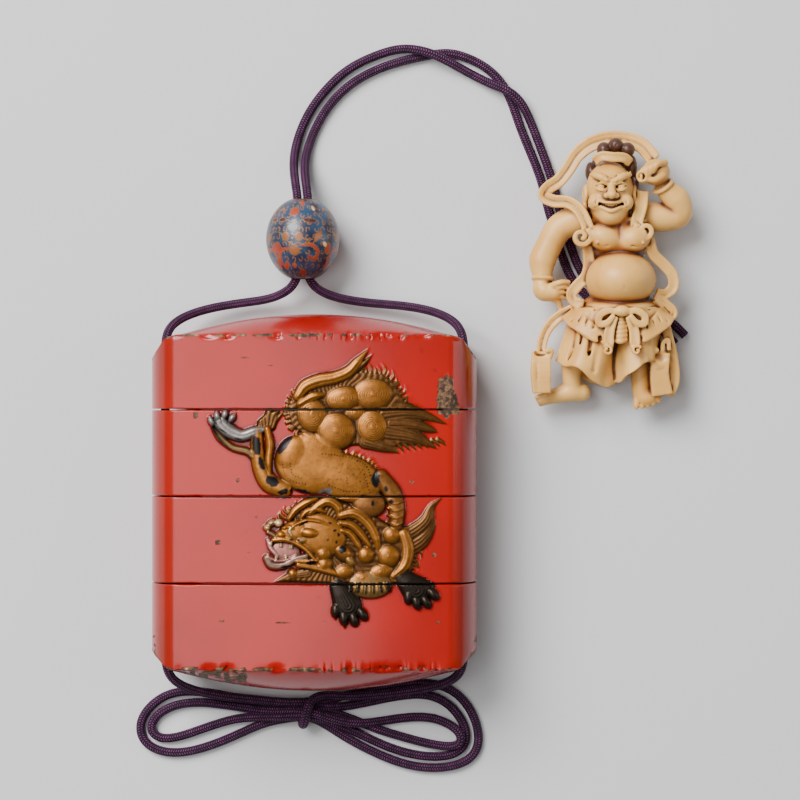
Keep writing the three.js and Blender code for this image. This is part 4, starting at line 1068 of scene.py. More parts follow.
def make_lid():
    places = columns(-7, 19.5)
    half = JOIN_GAP / 2
    low = rim(SEAM_LID + half, 1, 77)
    shares = np.concatenate([np.linspace(0, 0.83, 72), np.linspace(0.85, 0.985, 9)])[1:]
    start = low[-1][0]
    rings = [shell_ring(places, places, SKIRT, CEILING), shell_ring(places, places, SKIRT, SEAM_LID + half)]
    rings += [shell_ring(places, places, OUTER, y, inset) for y, inset in low]
    rings += [
        shell_ring(places, places, OUTER, lambda x, u, s=share: start + s * (top_level(x, u) - start))
        for share in (*shares, 1.0)
    ]
    rings = [add_front(ring) if k > 1 else ring for k, ring in enumerate(rings)]
    rows, width, inner = dome_cap(places, top_level)
    inner = add_front(inner.reshape(-1, 3)).reshape(inner.shape)
    lid = closed_loft("lid_lacquered", rings, [("first", None), ("last", (rows, width, inner))],
                      2 * width - 2)
    finish_case(lid)
    return lid


def make_lower():
    places = columns(1, 27.5)
    half = JOIN_GAP / 2
    high = rim(SEAM_MIDDLE - half, -1, 55)[::-1]
    end = high[0][0]
    shares = np.concatenate([[0, 0.02, 0.05], np.linspace(0.1, 0.42, 9), np.linspace(0.43, 1, 64)])[:-1]
    rings = [
        shell_ring(places, places, OUTER, lambda x, u,
                   s=share: foot_level(x, u) + s * (end - foot_level(x, u)))
        for share in shares
    ]
    rings += [shell_ring(places, places, OUTER, y, inset) for y, inset in high]
    rings += riser_rings(places, places, SEAM_MIDDLE, LOWEST_FLOOR)
    rings = [add_front(ring) if k < len(rings) - 6 else ring for k, ring in enumerate(rings)]
    rows, width, inner = dome_cap(places, foot_level)
    inner = add_front(inner.reshape(-1, 3)).reshape(inner.shape)
    lower = closed_loft("case_lower_lacquered", rings, [("first", (rows, width, inner)), ("last", None)],
                        2 * width - 2)
    finish_case(lower)
    return lower


def lacquer_paint():
    paint = Paint("vermilion lacquer", Coat_Roughness=0.12, Coat_IOR=1.5, Specular_IOR_Level=0.34)
    x = paint.axes()[0]
    gilt, halo = paint.attribute("gilt"), paint.attribute("halo")
    worn, within = paint.attribute("worn"), paint.attribute("within")
    tint = paint.attribute("tint", out="Color")
    cloud = paint.noise(34, 3, 0.5)
    grain = paint.noise(900, 4, 0.65)
    dust = paint.noise(420, 2, 0.6)
    # Lacquer: even red, browner in clouds, with faint specks, and browner towards the rounded ends as painted
    # shade
    red = paint.mix(cloud.step(0.35, 0.75), linear(156, 13, 3), linear(138, 12, 4))
    # Painted shade where the rounded ends turn away
    end_shade = abs(x * 1000).step(27.2, 31) * (1 - abs(x * 1000).step(32, 34))
    red = paint.mix(end_shade * (0.25 + cloud * 0.5), red, linear(104, 30, 12))
    # Round the relief the red is darkened: painted shade, and partly a brownish worn edge
    red = paint.mix(halo.step(0.0, 0.55) * (1 - gilt) * 0.88, red, linear(34, 9, 5))
    red = paint.mix(dust.step(0.71, 0.78) * 0.5, red, linear(110, 26, 16))
    # Where the lacquer is gone: its dark ground, and pale wood in the deepest places
    ground = paint.mix(grain.step(0.42, 0.6), linear(44, 26, 18), linear(112, 80, 50))
    ground = paint.mix(grain.step(0.6, 0.72) * worn.step(0.5, 1), ground, linear(186, 158, 118))
    edge = worn.step(0.32, 0.5)
    red = paint.mix(edge, red, ground)
    # Inside: black-brown lacquer
    inner = paint.mix(cloud, linear(26, 14, 11), linear(40, 20, 14))
    red = paint.mix(within, red, inner)
    # Gold: the relief's tint, with its painted shade in the hollows and painted highlight on the heights, and
    # dark specks from the grain
    rub = grain.step(0.35, 0.7)
    gold = paint.mix(rub * 0.35, tint, (0.02, 0.012, 0.006))
    colour = paint.mix(gilt.step(0.45, 0.6), red, gold)
    metal = gilt.step(0.45, 0.6) * 0.7
    rough = 0.2 + cloud * 0.07 + edge * 0.4 + gilt * 0.14 + within * 0.1
    coat = (1 - edge) * (1 - gilt) * 0.12
    height = grain * (0.05 + edge * 0.9 + gilt * 0.3) - edge * 1.2 + cloud * 0.1
    return paint.surface(
        Base_Color=colour, Metallic=metal, Roughness=rough, Coat_Weight=coat,
        Normal=paint.bump(height, 0.00018, 0.7)
    )


# ======================================================================= the toggle
class Clay:
    """A solid kept as distances to its surface on a grid, negative inside."""

    def __init__(self, low, high, pitch):
        self.low, self.pitch = np.array(low, dtype=float), pitch
        self.count = np.ceil((np.array(high) - self.low) / pitch).astype(int) + 1
        self.field = np.full(self.count, 4.0, dtype=np.float32)

    def window(self, low, high, margin):
        first = np.clip(np.floor((np.minimum(low, high) - margin - self.low) / self.pitch), 0, self.count - 1)
        last = np.clip(np.ceil((np.maximum(low, high) + margin - self.low) / self.pitch) + 1, 1, self.count)
        first, last = first.astype(int), last.astype(int)
        lines = [self.low[k] + self.pitch * np.arange(first[k], last[k]) for k in range(3)]
        axes = (lines[0][:, None, None], lines[1][None, :, None], lines[2][None, None, :])
        return tuple(slice(a, b) for a, b in zip(first, last)), axes

    def join(self, window, distance, soft):
        old = self.field[window]
        share = np.clip(0.5 + 0.5 * (old - distance) / soft, 0, 1)
        self.field[window] = old * (1 - share) + distance * share - soft * share * (1 - share)

    def cut(self, window, distance, soft):
        old = -self.field[window]
        share = np.clip(0.5 + 0.5 * (old - distance) / soft, 0, 1)
        self.field[window] = -(old * (1 - share) + distance * share - soft * share * (1 - share))

    def ball(self, at, radii, turn=0.0, soft=0.5, away=False):
        at, radii = np.array(at, dtype=float), np.array(radii, dtype=float)
        reach = np.array([max(radii[:2])] * 2 + [radii[2]])
        window, (x, y, z) = self.window(at - reach, at + reach, 1.2)
        dx, dy, dz = x - at[0], y - at[1], z - at[2]
        a = dx * math.cos(turn) + dy * math.sin(turn)
        b = dy * math.cos(turn) - dx * math.sin(turn)
        near = np.sqrt((a / radii[0]) ** 2 + (b / radii[1]) ** 2 + (dz / radii[2]) ** 2)
        slope = np.sqrt((a / radii[0] ** 2) ** 2 + (b / radii[1] ** 2) ** 2 + (dz / radii[2] ** 2) ** 2)
        (self.cut if away else self.join)(window, near * (near - 1) / np.maximum(slope, 1e-3), soft)

    def line(self, points, radii, spacing):
        path = evenly(spline(points, 14 * len(points)), spacing)
        share = np.linspace(0, 1, len(path))
        return path, np.interp(share, np.linspace(0, 1, len(radii)), radii)

    def stamped(self, path, reach, stamp):
        """The least of a small shape's distances as it is stamped along a path."""
        window, axes = self.window(path.min(axis=0) - reach, path.max(axis=0) + reach, 0.9)
        total = np.full([line.size for line in axes], 4.0)
        starts = np.array([part.start for part in window])
        for k, at in enumerate(path):
            inner, local = self.window(at - reach, at + reach, 0.9)
            place = tuple(slice(p.start - s, p.stop - s) for p, s in zip(inner, starts))
            total[place] = np.minimum(total[place], stamp(k, *[line - at[m] for m, line in enumerate(local)]))
        return window, total

    def limb(self, points, radii, soft=0.5, away=False):
        path, sizes = self.line(points, radii, 0.3)
        window, total = self.stamped(path, max(radii), lambda k, x, y,
                                     z: np.sqrt(x * x + y * y + z * z) - sizes[k])
        (self.cut if away else self.join)(window, total, soft)

    def ribbon(self, points, widths, thick, soft=0.35, edge=True, lean=0.0):
        """A band of cloth lying level along a line, with a raised border."""
        path, wide = self.line(points, widths, 0.28)
        tangent = np.gradient(path, axis=0)
        tangent /= np.linalg.norm(tangent, axis=1, keepdims=True)
        side = np.cross((0, 0, 1.0), tangent) + (0, 0, lean)
        side /= np.maximum(np.linalg.norm(side, axis=1, keepdims=True), 1e-6)
        up = np.cross(tangent, side)

        def stamp(k, x, y, z):
            a = np.abs(x * side[k, 0] + y * side[k, 1] + z * side[k, 2]) - wide[k] / 2 + 0.2
            b = np.abs(x * up[k, 0] + y * up[k, 1] + z * up[k, 2]) - thick / 2 + 0.2
            c = np.abs(x * tangent[k, 0] + y * tangent[k, 1] + z * tangent[k, 2]) - 0.05
            outer = np.sqrt(np.maximum(a, 0) ** 2 + np.maximum(b, 0) ** 2 + np.maximum(c, 0) ** 2)
            return outer + np.minimum(np.maximum(np.maximum(a, b), c), 0) - 0.2

        window, total = self.stamped(path, max(max(widths), thick) / 2 + 0.3, stamp)
        self.join(window, total, soft)
        if edge:
            for sign in (-1, 1):
                rim_line = path + sign * side * (wide[:, None] / 2 - 0.22) + up * thick * 0.38
                self.limb(rim_line[::4], (0.34,), 0.2)

    def curl(self, at, radius, start, turns, width, soft=0.3):
        """A ribbon's rolled end, seen from its side."""
        share = np.linspace(0, 1, 16)
        angle = start + turns * TAU * share
        r = radius * (1 - 0.8 * share)
        points = np.stack([at[0] + r * np.cos(angle), at[1] + r * np.sin(angle), at[2] + 0.5 * share], 1)
        self.ribbon(points, (width, width * 0.8), 2.4, soft, edge=False)

    def ring(self, at, axis, radius, thick, soft=0.15):
        axis = np.array(axis, dtype=float) / np.linalg.norm(axis)
        at = np.array(at, dtype=float)
        window, (x, y, z) = self.window(at - radius, at + radius, thick + 1)
        dx, dy, dz = x - at[0], y - at[1], z - at[2]
        along = dx * axis[0] + dy * axis[1] + dz * axis[2]
        away = np.sqrt(np.maximum(dx * dx + dy * dy + dz * dz - along**2, 0))
        self.join(window, np.hypot(away - radius, along) - thick, soft)

    def cloth(self, hip, hem, hip_radii, hem_radii, folds, phase, cut_line, soft=0.4):
        """A trouser leg: it widens from hip to hem in folds, and is hollow at the hem."""
        hip, hem = np.array(hip, dtype=float), np.array(hem, dtype=float)
        reach = np.array([max(hip_radii[0], hem_radii[0]) * 1.3, 0, max(hip_radii[1], hem_radii[1]) * 1.2])
        low, high = np.minimum(hip, hem) - reach - (0, 4, 0), np.maximum(hip, hem) + reach + (0, 1, 0)
        window, (x, y, z) = self.window(low, high, 0.8)
        t = np.clip((hip[1] - y) / (hip[1] - hem[1]), 0, 1.3)
        rx = hip_radii[0] + (hem_radii[0] - hip_radii[0]) * t
        rz = hip_radii[1] + (hem_radii[1] - hip_radii[1]) * t
        dx, dz = x - (hip[0] + (hem[0] - hip[0]) * t), z - (hip[2] + (hem[2] - hip[2]) * t)
        angle = np.arctan2(dz / rz, dx / rx)
        wave = np.cos(folds * angle + phase + 1.4 * np.sin(t * 3))
        wave = wave + 0.35 * np.cos(2.3 * folds * angle - phase)
        around = np.hypot(dx / rx, dz / rz) - 1 - 0.085 * t * wave
        tube = around * np.minimum(rx, rz) * 0.85
        bottom = (hem[1] + cut_line(dx / rx) + 0.5 * wave * t) - y
        top = y - hip[1] - 0.5
        whole = np.maximum(np.maximum(tube, bottom * 0.8), top)
        hollow = np.maximum(tube + 1.0, bottom - 4.5 + 0 * z)
        self.join(window, np.maximum(whole, -np.maximum(hollow, y - hem[1] - 5)), soft)

    def values(self, field, points):
        place = (points - self.low) / self.pitch
        whole = np.clip(np.floor(place).astype(int), 0, self.count - 2)
        part = place - whole
        result = np.zeros(len(points))
        for corner in range(8):
            step = np.array([corner & 1, corner >> 1 & 1, corner >> 2 & 1])
            share = np.prod(np.where(step, part, 1 - part), axis=1)
            result += share * field[tuple((whole + step).T)]
        return result

    def surface(self, name, place):
        grid = openvdb.FloatGrid(4.0)
        grid.copyFromArray(self.field)
        points, triangles, quads = grid.convertToPolygons(0.0, 0.0)
        points = points.astype(float) * self.pitch + self.low
        faces = quads.tolist() + triangles.tolist()
        return mesh_object(name, points + place, faces), points


def box_blur(field, cells, passes=2):
    for _ in range(passes):
        for axis in range(3):
            pad = [(cells + 1, cells) if k == axis else (0, 0) for k in range(3)]
            total = np.cumsum(np.pad(field, pad, mode="edge"), axis=axis)
            count = field.shape[axis]
            upper = np.take(total, np.arange(count) + 2 * cells + 1, axis=axis)
            field = (upper - np.take(total, np.arange(count), axis=axis)) / (2 * cells + 1)
    return field


def carve_trunk(c):
    c.ball((2, 7.4, 6.6), (6.9, 6, 6.9), soft=1.5)
    c.ball((2.2, -8.4, 6.4), (8.6, 5.2, 6.4), soft=1.5)
    c.limb([(1.5, 9, 8.5), (0.3, 14, 10)], (3.4, 3), 1.5)
    c.ball((-1.2, 7.4, 11.6), (3.7, 2.9, 3.1), -0.3, soft=0.7)
    c.ball((5, 7.1, 11.6), (3.7, 2.9, 3.1), 0.3, soft=0.7)
    c.ball((2.3, -1.4, 9), (7.6, 6, 9), soft=0.7)
    # Collar bones, and the creases that set the belly off
    for side in (-1, 1):
        mid = 2 + side * 4.9
        c.limb([(2 + side * 0.9, 10.6, 11.9), (2 + side * 3.2, 11.2, 11.9), (2 + side * 5.4, 10.9, 10.6)],
               (0.5, 0.6, 0.4), 0.5)
        c.limb([(mid - side * 2.4, 5.5, 14), (mid, 4.8, 13.6), (mid + side * 2, 5.6, 12)], (0.22,), 0.3,
               away=True)
        c.limb([(mid, 6, 14.1), (mid, 6, 14.8)], (0.3, 0.26), 0.12)
    c.limb([(1.9, 10.2, 13), (2, 7.4, 14), (2.1, 4.9, 15)], (0.25,), 0.6, away=True)
    for turn in np.arange(5) / 5 * TAU + 0.4:
        c.limb([(2.8, -3.9, 17.4), (2.8 + 1.2 * math.cos(turn), -3.9 + 0.7 * math.sin(turn), 17.5)],
               (0.22, 0.1), 0.15, away=True)
    c.ball((2.8, -3.9, 17.7), (0.4, 0.35, 0.5), away=True, soft=0.2)
    # The back: shoulder blades and spine
    for side in (-1, 1):
        c.ball((2 + side * 3.6, 9, 1.6), (2.6, 3, 1.4), soft=1)


def carve_head_of_toggle(c):
    c.ball((0, 17.4, 10.6), (5.0, 6, 5.8), soft=0.8)
    c.ball((0, 13.2, 11.6), (3.9, 3.4, 4.4), soft=1.2)
    c.ball((0, 11.6, 13.6), (2.1, 1.5, 2.1), soft=0.9)
    for side in (-1, 1):
        c.ball((side * 2.9, 14.6, 14.1), (1.9, 1.8, 1.9), soft=0.7)
        c.ball((side * 2.1, 17.9, 15.8), (1.35, 0.85, 0.9), soft=0.3, away=True)
        c.ball((side * 2.05, 17.8, 15.3), (0.86, 0.74, 0.86), soft=0.1)
        c.limb([(side * 1.1, 17.3, 15.9), (side * 2.1, 17.0, 16.2), (side * 3.2, 17.5, 15.3)], (0.26,), 0.15)
        c.limb([(side * 1.0, 18.2, 16.1), (side * 2.1, 18.6, 16.3), (side * 3.3, 18.2, 15.4)], (0.24,), 0.15)
        c.ball((side * 2.05, 17.8, 16.25), (0.2, 0.2, 0.3), soft=0.05, away=True)
        # Brows: tufts of short hairs that rise outwards
        c.limb([(side * 0.8, 19, 16.3), (side * 2.2, 19.8, 16.2), (side * 4, 20.4, 14.5)], (0.62, 0.8, 0.5),
               0.4)
        for k in range(5):
            x = 1 + 0.65 * k
            c.limb([(side * x, 19.1 + 0.22 * k, 16.9 - 0.32 * k),
                    (side * (x + 0.5), 20.5 + 0.15 * k, 16.4 - 0.36 * k)],
                   (0.34, 0.16), 0.12)
        # Ears with long lobes
        c.ball((side * 5.1, 16.4, 10.6), (0.75, 2.2, 1.7), soft=0.3)
        c.ball((side * 5.3, 13.9, 10.8), (0.7, 1.2, 0.9), soft=0.3)
        c.ball((side * 5.9, 16.6, 11.3), (0.5, 1.2, 0.8), soft=0.2, away=True)
        c.limb([(side * 1.9, 15.9, 16.2), (side * 3.1, 15, 15.9), (side * 3.3, 13.6, 15.2)], (0.2,), 0.3,
               away=True)
    c.limb([(0, 18.6, 15.9), (0, 17.2, 16.7), (0, 16.1, 17.3)], (0.62, 0.7, 1.0), 0.4)
    for side in (-1, 1):
        c.ball((side * 0.95, 15.9, 16.5), (0.75, 0.62, 0.8), soft=0.25)
        c.ball((side * 0.5, 15.4, 17.5), (0.26, 0.2, 0.3), soft=0.1, away=True)
    # A broad grin with a row of teeth
    c.limb([(-2.7, 14.5, 15), (-1.4, 13.7, 16), (0, 13.5, 16.3), (1.4, 13.7, 16), (2.7, 14.5, 15)],
           (0.5, 0.72, 0.78, 0.72, 0.5), 0.2, away=True)
    for k in range(-3, 4):
        c.ball((0.52 * k, 13.95 + 0.045 * k * k, 15.75 - 0.05 * k * k), (0.27, 0.36, 0.4), soft=0.05)
    c.limb([(-2.7, 14.9, 15.3), (-1.3, 14.5, 16.3), (0, 14.4, 16.6), (1.3, 14.5, 16.3), (2.7, 14.9, 15.3)],
           (0.28, 0.36, 0.3, 0.36, 0.28), 0.2)
    c.limb([(-2.2, 13.6, 15.4), (0, 12.7, 16.2), (2.2, 13.6, 15.4)], (0.34, 0.46, 0.34), 0.2)
    for k in (-1, 1):
        c.limb([(k * 0.9, 19.8, 16.4), (k * 0.5, 18.6, 16.6)], (0.16,), 0.2, away=True)
    c.limb([(-2.6, 21.4, 15.2), (0, 21.9, 15.6), (2.6, 21.4, 15.2)], (0.13,), 0.2, away=True)
    # Band at the hair line
    c.ribbon([(-3, 23.6, 12.6), (-2, 24.3, 13.6), (0.4, 24.1, 14.2), (2.8, 24, 13.6), (4, 23.2, 12.6)],
             (1.9,), 1.2, 0.25)


HAIR = [
    ((-1.3, 25.9, 11.6), (1.5, 1.6, 2)), ((1.2, 26.8, 11.6), (1.6, 1.6, 2)),
    ((3.7, 25.9, 11.2), (1.6, 1.6, 2)),
    ((4.7, 22.4, 9), (1.2, 2.6, 3.2)), ((-3.9, 21.4, 7.4), (1.1, 2.2, 2.6)), ((0.6, 22, 5.6), (4.6, 4, 3)),
    ((5.4, 19.2, 8.4), (1, 2, 2.6)),
]


def carve_arms(c):
    c.limb([(-6.4, 11.6, 7), (-10.4, 9.6, 6.8), (-12.9, 5.4, 6.6), (-14.1, 2.4, 6.6), (-14, -1.2, 7)],
           (3.3, 3, 2.8, 2.9, 1.9), 1.0)
    c.limb([(-14.1, -2, 7.2), (-13.9, -3.7, 7.6), (-11.6, -4.1, 8.4)], (1.9, 2.2, 1.7), 0.6)
    c.ring((-14, -1.2, 7.1), (0.05, 1, -0.1), 2.1, 0.42)
    for k in range(4):
        c.limb([(-12.4, -3 - 0.7 * k, 9 - 0.5 * k), (-10.4, -2.1 - 0.95 * k, 10.4 - 0.6 * k),
                (-8.7, -2.0 - 1.15 * k, 9.7 - 0.7 * k)],
               (0.8, 0.62, 0.5), 0.15)
    c.limb([(-12.6, -5, 8), (-10.8, -6, 7.4), (-10.2, -7.6, 6.6)], (1, 0.75, 0.55), 0.25)
    c.limb([(7.6, 12, 7), (11.4, 11.9, 7), (14.8, 12.4, 7.2), (14.6, 15, 8), (11.6, 18, 9.4)],
           (3.2, 3.1, 2.8, 2.9, 1.9), 0.9)
    c.ring((11.4, 18.3, 9.5), (-0.5, 0.7, 0.3), 2.15, 0.45)
    c.ball((9.8, 21.2, 10.4), (3, 2.8, 2.8), soft=0.5)
    for k in range(4):
        c.limb([(11.5 - 1.1 * k, 23.1 - 0.3 * k, 12 + 0.15 * k), (9.8 - 1.0 * k, 22.6 - 0.5 * k, 13.5),
                (8.9 - 0.8 * k, 21.2 - 0.6 * k, 13.4)], (0.8, 0.72, 0.6), 0.14)
    c.limb([(11, 20.4, 12.2), (9.4, 19.4, 13.1), (8, 19.5, 13.3)], (0.95, 0.75, 0.6), 0.2)
    c.limb([(8.6, 21, 11.6), (6.9, 20.2, 12.8)], (1.3, 1.5), 0.3)
    c.ball((6.5, 20, 14), (0.85, 0.85, 1.1), soft=0.15, away=True)
    c.ball((6.5, 20, 13.3), (0.3, 0.8, 0.6), soft=0.05)


def carve_scarf(c):
    arc = [
        (9.4, 24, 9.4), (6.6, 27.1, 8.8), (1.6, 28.4, 8), (-3.2, 27.6, 7.4), (-6.6, 25.2, 7), (-8.7, 22, 7),
        (-10.6, 19.6, 7), (-13, 17.9, 7.4), (-13.8, 16.4, 8), (-12, 15.2, 9.2), (-8.8, 14.8, 10.6),
        (-6.6, 13.2, 11.6),
        (-5.2, 10.6, 12.2), (-4.5, 8.6, 12.4),
    ]
    c.ribbon(arc, (3, 3.3, 3.2, 2.9, 2.7, 2.5, 2.4, 2.4), 1.3, 0.3)
    c.limb([(x, y, z + 0.7) for x, y, z in arc], (0.28,), 0.3, away=True)
    c.curl((-6.1, 7.4, 12.4), 2.1, 0.8, -1.35, 1.15)
    c.ribbon([(6.9, 16.8, 9.8), (6.5, 13.6, 11.4), (5.7, 11, 12.2), (5.4, 9, 12.3)], (2.6, 2.4, 2.4), 1.4,
             0.3)
    c.curl((7.3, 8.7, 12.3), 2.1, 2.5, 1.35, 1.15)
    for points in (
        [(-4.9, 5.6, 10.6), (-4.4, 2.4, 10.2), (-4.9, -0.6, 10.2), (-6.8, -2.8, 9.8), (-8, -4.6, 9.2),
         (-7.4, -6.2, 9.2), (-5.6, -6.6, 9.6)],
        [(8.4, 7, 10.8), (9.2, 4, 10.2), (11.6, 1.6, 9.4), (13.4, -0.6, 8.8), (13.5, -3.2, 8.4),
         (11.8, -4.6, 8.6), (10.2, -4.2, 9)],
    ):
        c.ribbon(points, (2.0, 2.2, 2.2, 2.2, 1.8), 1.3, 0.25)
    long_left = [(-7.6, -7.6, 7.6), (-11, -9.6, 7.6), (-13.2, -12.2, 7.2), (-14.2, -15, 7),
                 (-14.4, -17.8, 7.2)]
    c.ribbon(long_left, (2, 2.2, 2, 1.9), 1.5, 0.3)
    c.limb([(x, y, z + 0.8) for x, y, z in long_left], (0.26,), 0.3, away=True)
    c.ribbon([(-14.3, -17, 7.8), (-14.5, -21, 8.2), (-14.3, -25.2, 7.8)], (4.1, 4.3, 3.9), 3.4, 0.25,
             edge=False)
    c.limb([(-15.4, -19, 10.1), (-15.3, -25.6, 9.8)], (0.24,), 0.35, away=True)
    c.limb([(-12.6, -18, 9.2), (-12.2, -16.6, 9.6), (-13.2, -16.6, 9.9)], (0.55, 0.5), 0.2)
    c.ball((-14.6, -17.1, 9.4), (1.3, 0.7, 1.2), soft=0.2, away=True)
    long_right = [(9.8, -6, 8.6), (11.4, -9.4, 8.2), (12.5, -13.4, 7.6), (13.6, -18, 7), (14, -23, 6.6),
                  (12.9, -25.8, 7)]
    c.ribbon(long_right, (1.7, 1.9, 2, 1.9), 2.4, 0.3)
    c.ribbon([(10.9, -17.2, 9.2), (10.6, -21.6, 9.2), (11.2, -25.6, 8.6)], (3.9, 3.9, 4.4), 2.6, 0.25,
             edge=False)
    c.ribbon([(9.1, -18.6, 9.4), (8.9, -16.8, 9.8), (9.8, -16.2, 10.1), (10.3, -17.4, 10.1)], (0.9,), 2.2,
             0.15, edge=False)
    c.ribbon([(11.2, -16.8, 9.6), (11.4, -14.8, 9.8), (12.3, -14.2, 9.8), (12.6, -16.2, 9.6)], (0.9,), 2.2,
             0.15, edge=False)
    c.ball((10.9, -17.9, 10.9), (1.3, 1.2, 0.8), soft=0.3, away=True)
    c.ribbon([(9.8, -5, 9), (12.2, -6.6, 8.8), (13.8, -8.4, 8.4), (12.8, -9.6, 8.4), (11.2, -8, 8.8)],
             (1.3, 1.5, 1.3), 1.3, 0.2)


def carve_skirts(c):
    c.cloth((-2.2, -8, 6.6), (-5.6, -21.6, 6.8), (5.8, 6.6), (6.6, 6.6), 3, 0.6,
            lambda s: 3.1 * np.clip(-s, -0.9, 0.9))
    c.cloth((6.2, -8, 6.6), (5.8, -20.6, 6.8), (5.4, 6.4), (4.8, 6), 3, 2.2,
            lambda s: 2.6 * np.clip(s, -0.9, 0.9))
    # The turned-down upper tier, open in front
    for side, mid in ((-1, -1.6), (1, 5.6)):
        hem = [(mid + side * 7.2, -8.4, 8), (mid + side * 5, -10.6, 12), (mid + side * 2.4, -12.4, 13.6),
               (mid - side * 0.2, -13.2, 13.9)]
        c.ribbon(hem, (3.4, 4, 3.4, 2.4), 1.1, 0.5, edge=False)
        c.limb([(x, y - 1.7, z + 0.2) for x, y, z in hem], (0.5,), 0.25)
        for k in range(4):
            x = mid + side * (1.4 + 1.5 * k)
            c.limb([(x, -8.6, 13.8 - 0.8 * k), (x + side * 0.7, -11.8 + 0.5 * k, 14 - 0.9 * k)], (0.2,), 0.4,
                   away=True)
        for k in range(4):
            x = mid + side * (0.6 + 1.8 * k)
            c.limb([(x, -13.8 + 0.5 * k, 13.9 - 0.8 * k), (x + side * 0.5, -17, 13.8 - 0.9 * k),
                    (x + side * 1.2, -20.8, 13 - k)],
                   (0.25, 0.42, 0.3), 0.8, away=True)
    # Sash, its folds, and the bow
    c.ball((2.3, -7.4, 7.4), (8.1, 2.1, 7.4), soft=0.5)
    for k in range(5):
        y = -6.4 - 0.62 * k
        for side in (-1, 1):
            c.limb([(2.3 + side * 2.2, y, 15.2), (2.3 + side * 5, y + 0.7, 13.6),
                    (2.3 + side * 7.6, y + 1.2, 9.4)], (0.17,), 0.25, away=True)
    for k in range(6):
        c.limb([(0.9, -9.6 - 0.95 * k, 13.5), (2, -9.9 - 0.95 * k, 14.1), (3.2, -9.6 - 0.95 * k, 13.5)],
               (0.5, 0.6, 0.5), 0.3)
    c.ball((2.3, -8.3, 15.1), (1.7, 1.2, 1.3), soft=0.2)
    for k in (-1, 0, 1):
        c.limb([(2.3 + 0.75 * k, -7.3, 16), (2.3 + 0.75 * k, -8.3, 16.5), (2.3 + 0.75 * k, -9.3, 16)],
               (0.14,), 0.2, away=True)
    for side in (-1, 1):
        loop = [(2.3 + side * 1.2, -8.4, 15), (2.3 + side * 3, -8.2, 15), (2.3 + side * 4.8, -9.4, 14.7),
                (2.3 + side * 4.7, -11, 14.6), (2.3 + side * 3.2, -10.8, 14.8), (2.3 + side * 1.8, -9.3, 15)]
        c.ribbon(loop, (1.2, 1.5, 1.5, 1.4, 1.0), 1.5, 0.2, edge=False)
        tail = [(2.3 + side * 1.6, -9.6, 14.6), (2.3 + side * 2.6, -12.6, 14.4),
                (2.3 + side * 2.8, -15.8, 14.4)]
        c.ribbon(tail, (1.5, 2, 2.1), 1.2, 0.25)
        c.curl((2.3 + side * 3.1, -16.6, 14.5), 1.05, 1.2 - side * 0.4, side * 1.1, 0.6, 0.15)


def carve_legs(c):
    c.limb([(-7.6, -18.4, 6), (-7.8, -22, 5.6), (-7.4, -24.8, 5)], (2.5, 2, 1.9), 0.5)
    c.limb([(-5.6, -25.4, 4.6), (-8.4, -25.4, 5), (-11.6, -26.2, 4.6), (-14, -27, 4.2)], (1.9, 2, 1.6, 1.1),
           0.6)
    for k in range(4):
        c.limb([(-13.4 + 0.2 * k, -25.9 - 0.5 * k, 5 - 0.7 * k),
                (-15.2 + 0.3 * k, -26.4 - 0.5 * k, 4.7 - 0.75 * k)], (0.6, 0.5), 0.12)
    c.limb([(6.6, -18, 6.4), (6.9, -22, 6.4), (7, -24.8, 6.2)], (2.6, 2.1, 2), 0.5)
    c.ball((8, -26.4, 6), (2.6, 2.2, 2.2), soft=0.6)
    for k in range(5):
        x = 5.9 + 1.22 * k
        c.limb([(x * 0.9 + 0.8, -26.8, 6.6), (x, -28.2 + 0.09 * k * k, 6.8)], (0.8, 0.72 - 0.05 * k), 0.14)
        c.ball((x, -28.8 + 0.09 * k * k, 7.2), (0.34, 0.3, 0.2), soft=0.1)


def thinned(target, share):
    """Fewer faces, and fewest where the surface is nearly flat."""
    modifier = target.modifiers.new("thin", "DECIMATE")
    modifier.ratio = share
    made = target.evaluated_get(bpy.context.evaluated_depsgraph_get())
    mesh = bpy.data.meshes.new_from_object(made)
    target.modifiers.remove(modifier)
    target.data = mesh


def make_toggle():
    clay = Clay((-18.4, -31, -1.5), (19, 30.6, 19.5), 0.24)
    for carve in (carve_trunk, carve_skirts, carve_legs, carve_head_of_toggle, carve_arms):
        carve(clay)
    bare = clay.field.copy()
    for at, radii in HAIR:
        clay.ball(at, radii, soft=0.25)
    hair_field = np.where((clay.field < bare - 0.02) & (clay.field < 0.2), 1.0, 0.0)
    for k in range(7):
        x = -2.1 + 1.1 * k
        clay.limb([(x, 24.8, 13.4), (x, 26.4, 13.6), (x + 0.2, 28, 12)], (0.13,), 0.2, away=True)
    carve_scarf(clay)
    # Flat where it lies, with a groove for the cord
    z = clay.low[2] + clay.pitch * np.arange(clay.count[2])
    clay.field = np.maximum(clay.field, 0.06 - z[None, None, :])
    for strand in (LEFT_STRAND, RIGHT_STRAND):
        under = [(px - TOGGLE[0], py - TOGGLE[1], 0.9) for px, py in [point[:2] for point in strand[:8]]]
        clay.limb(under, (CORD_RADIUS + 0.4,), 0.5, away=True)
    # What shows at the surface: how deep it lies between its neighbours, near and far
    solid_share = (clay.field < 0).astype(np.float32)
    near = box_blur(solid_share, 2)
    far = box_blur(solid_share, 6)
    toggle = clay.surface("netsuke_ivory", TOGGLE)[0]
    thinned(toggle, 0.6)
    points = vertex_array(toggle) - np.array(TOGGLE)
    set_attribute(toggle, "cavity", clay.values(near, points))
    set_attribute(toggle, "depth", clay.values(far, points))
    set_attribute(toggle, "hair", clay.values(box_blur(hair_field.astype(np.float32), 1, 1), points))
    return toggle


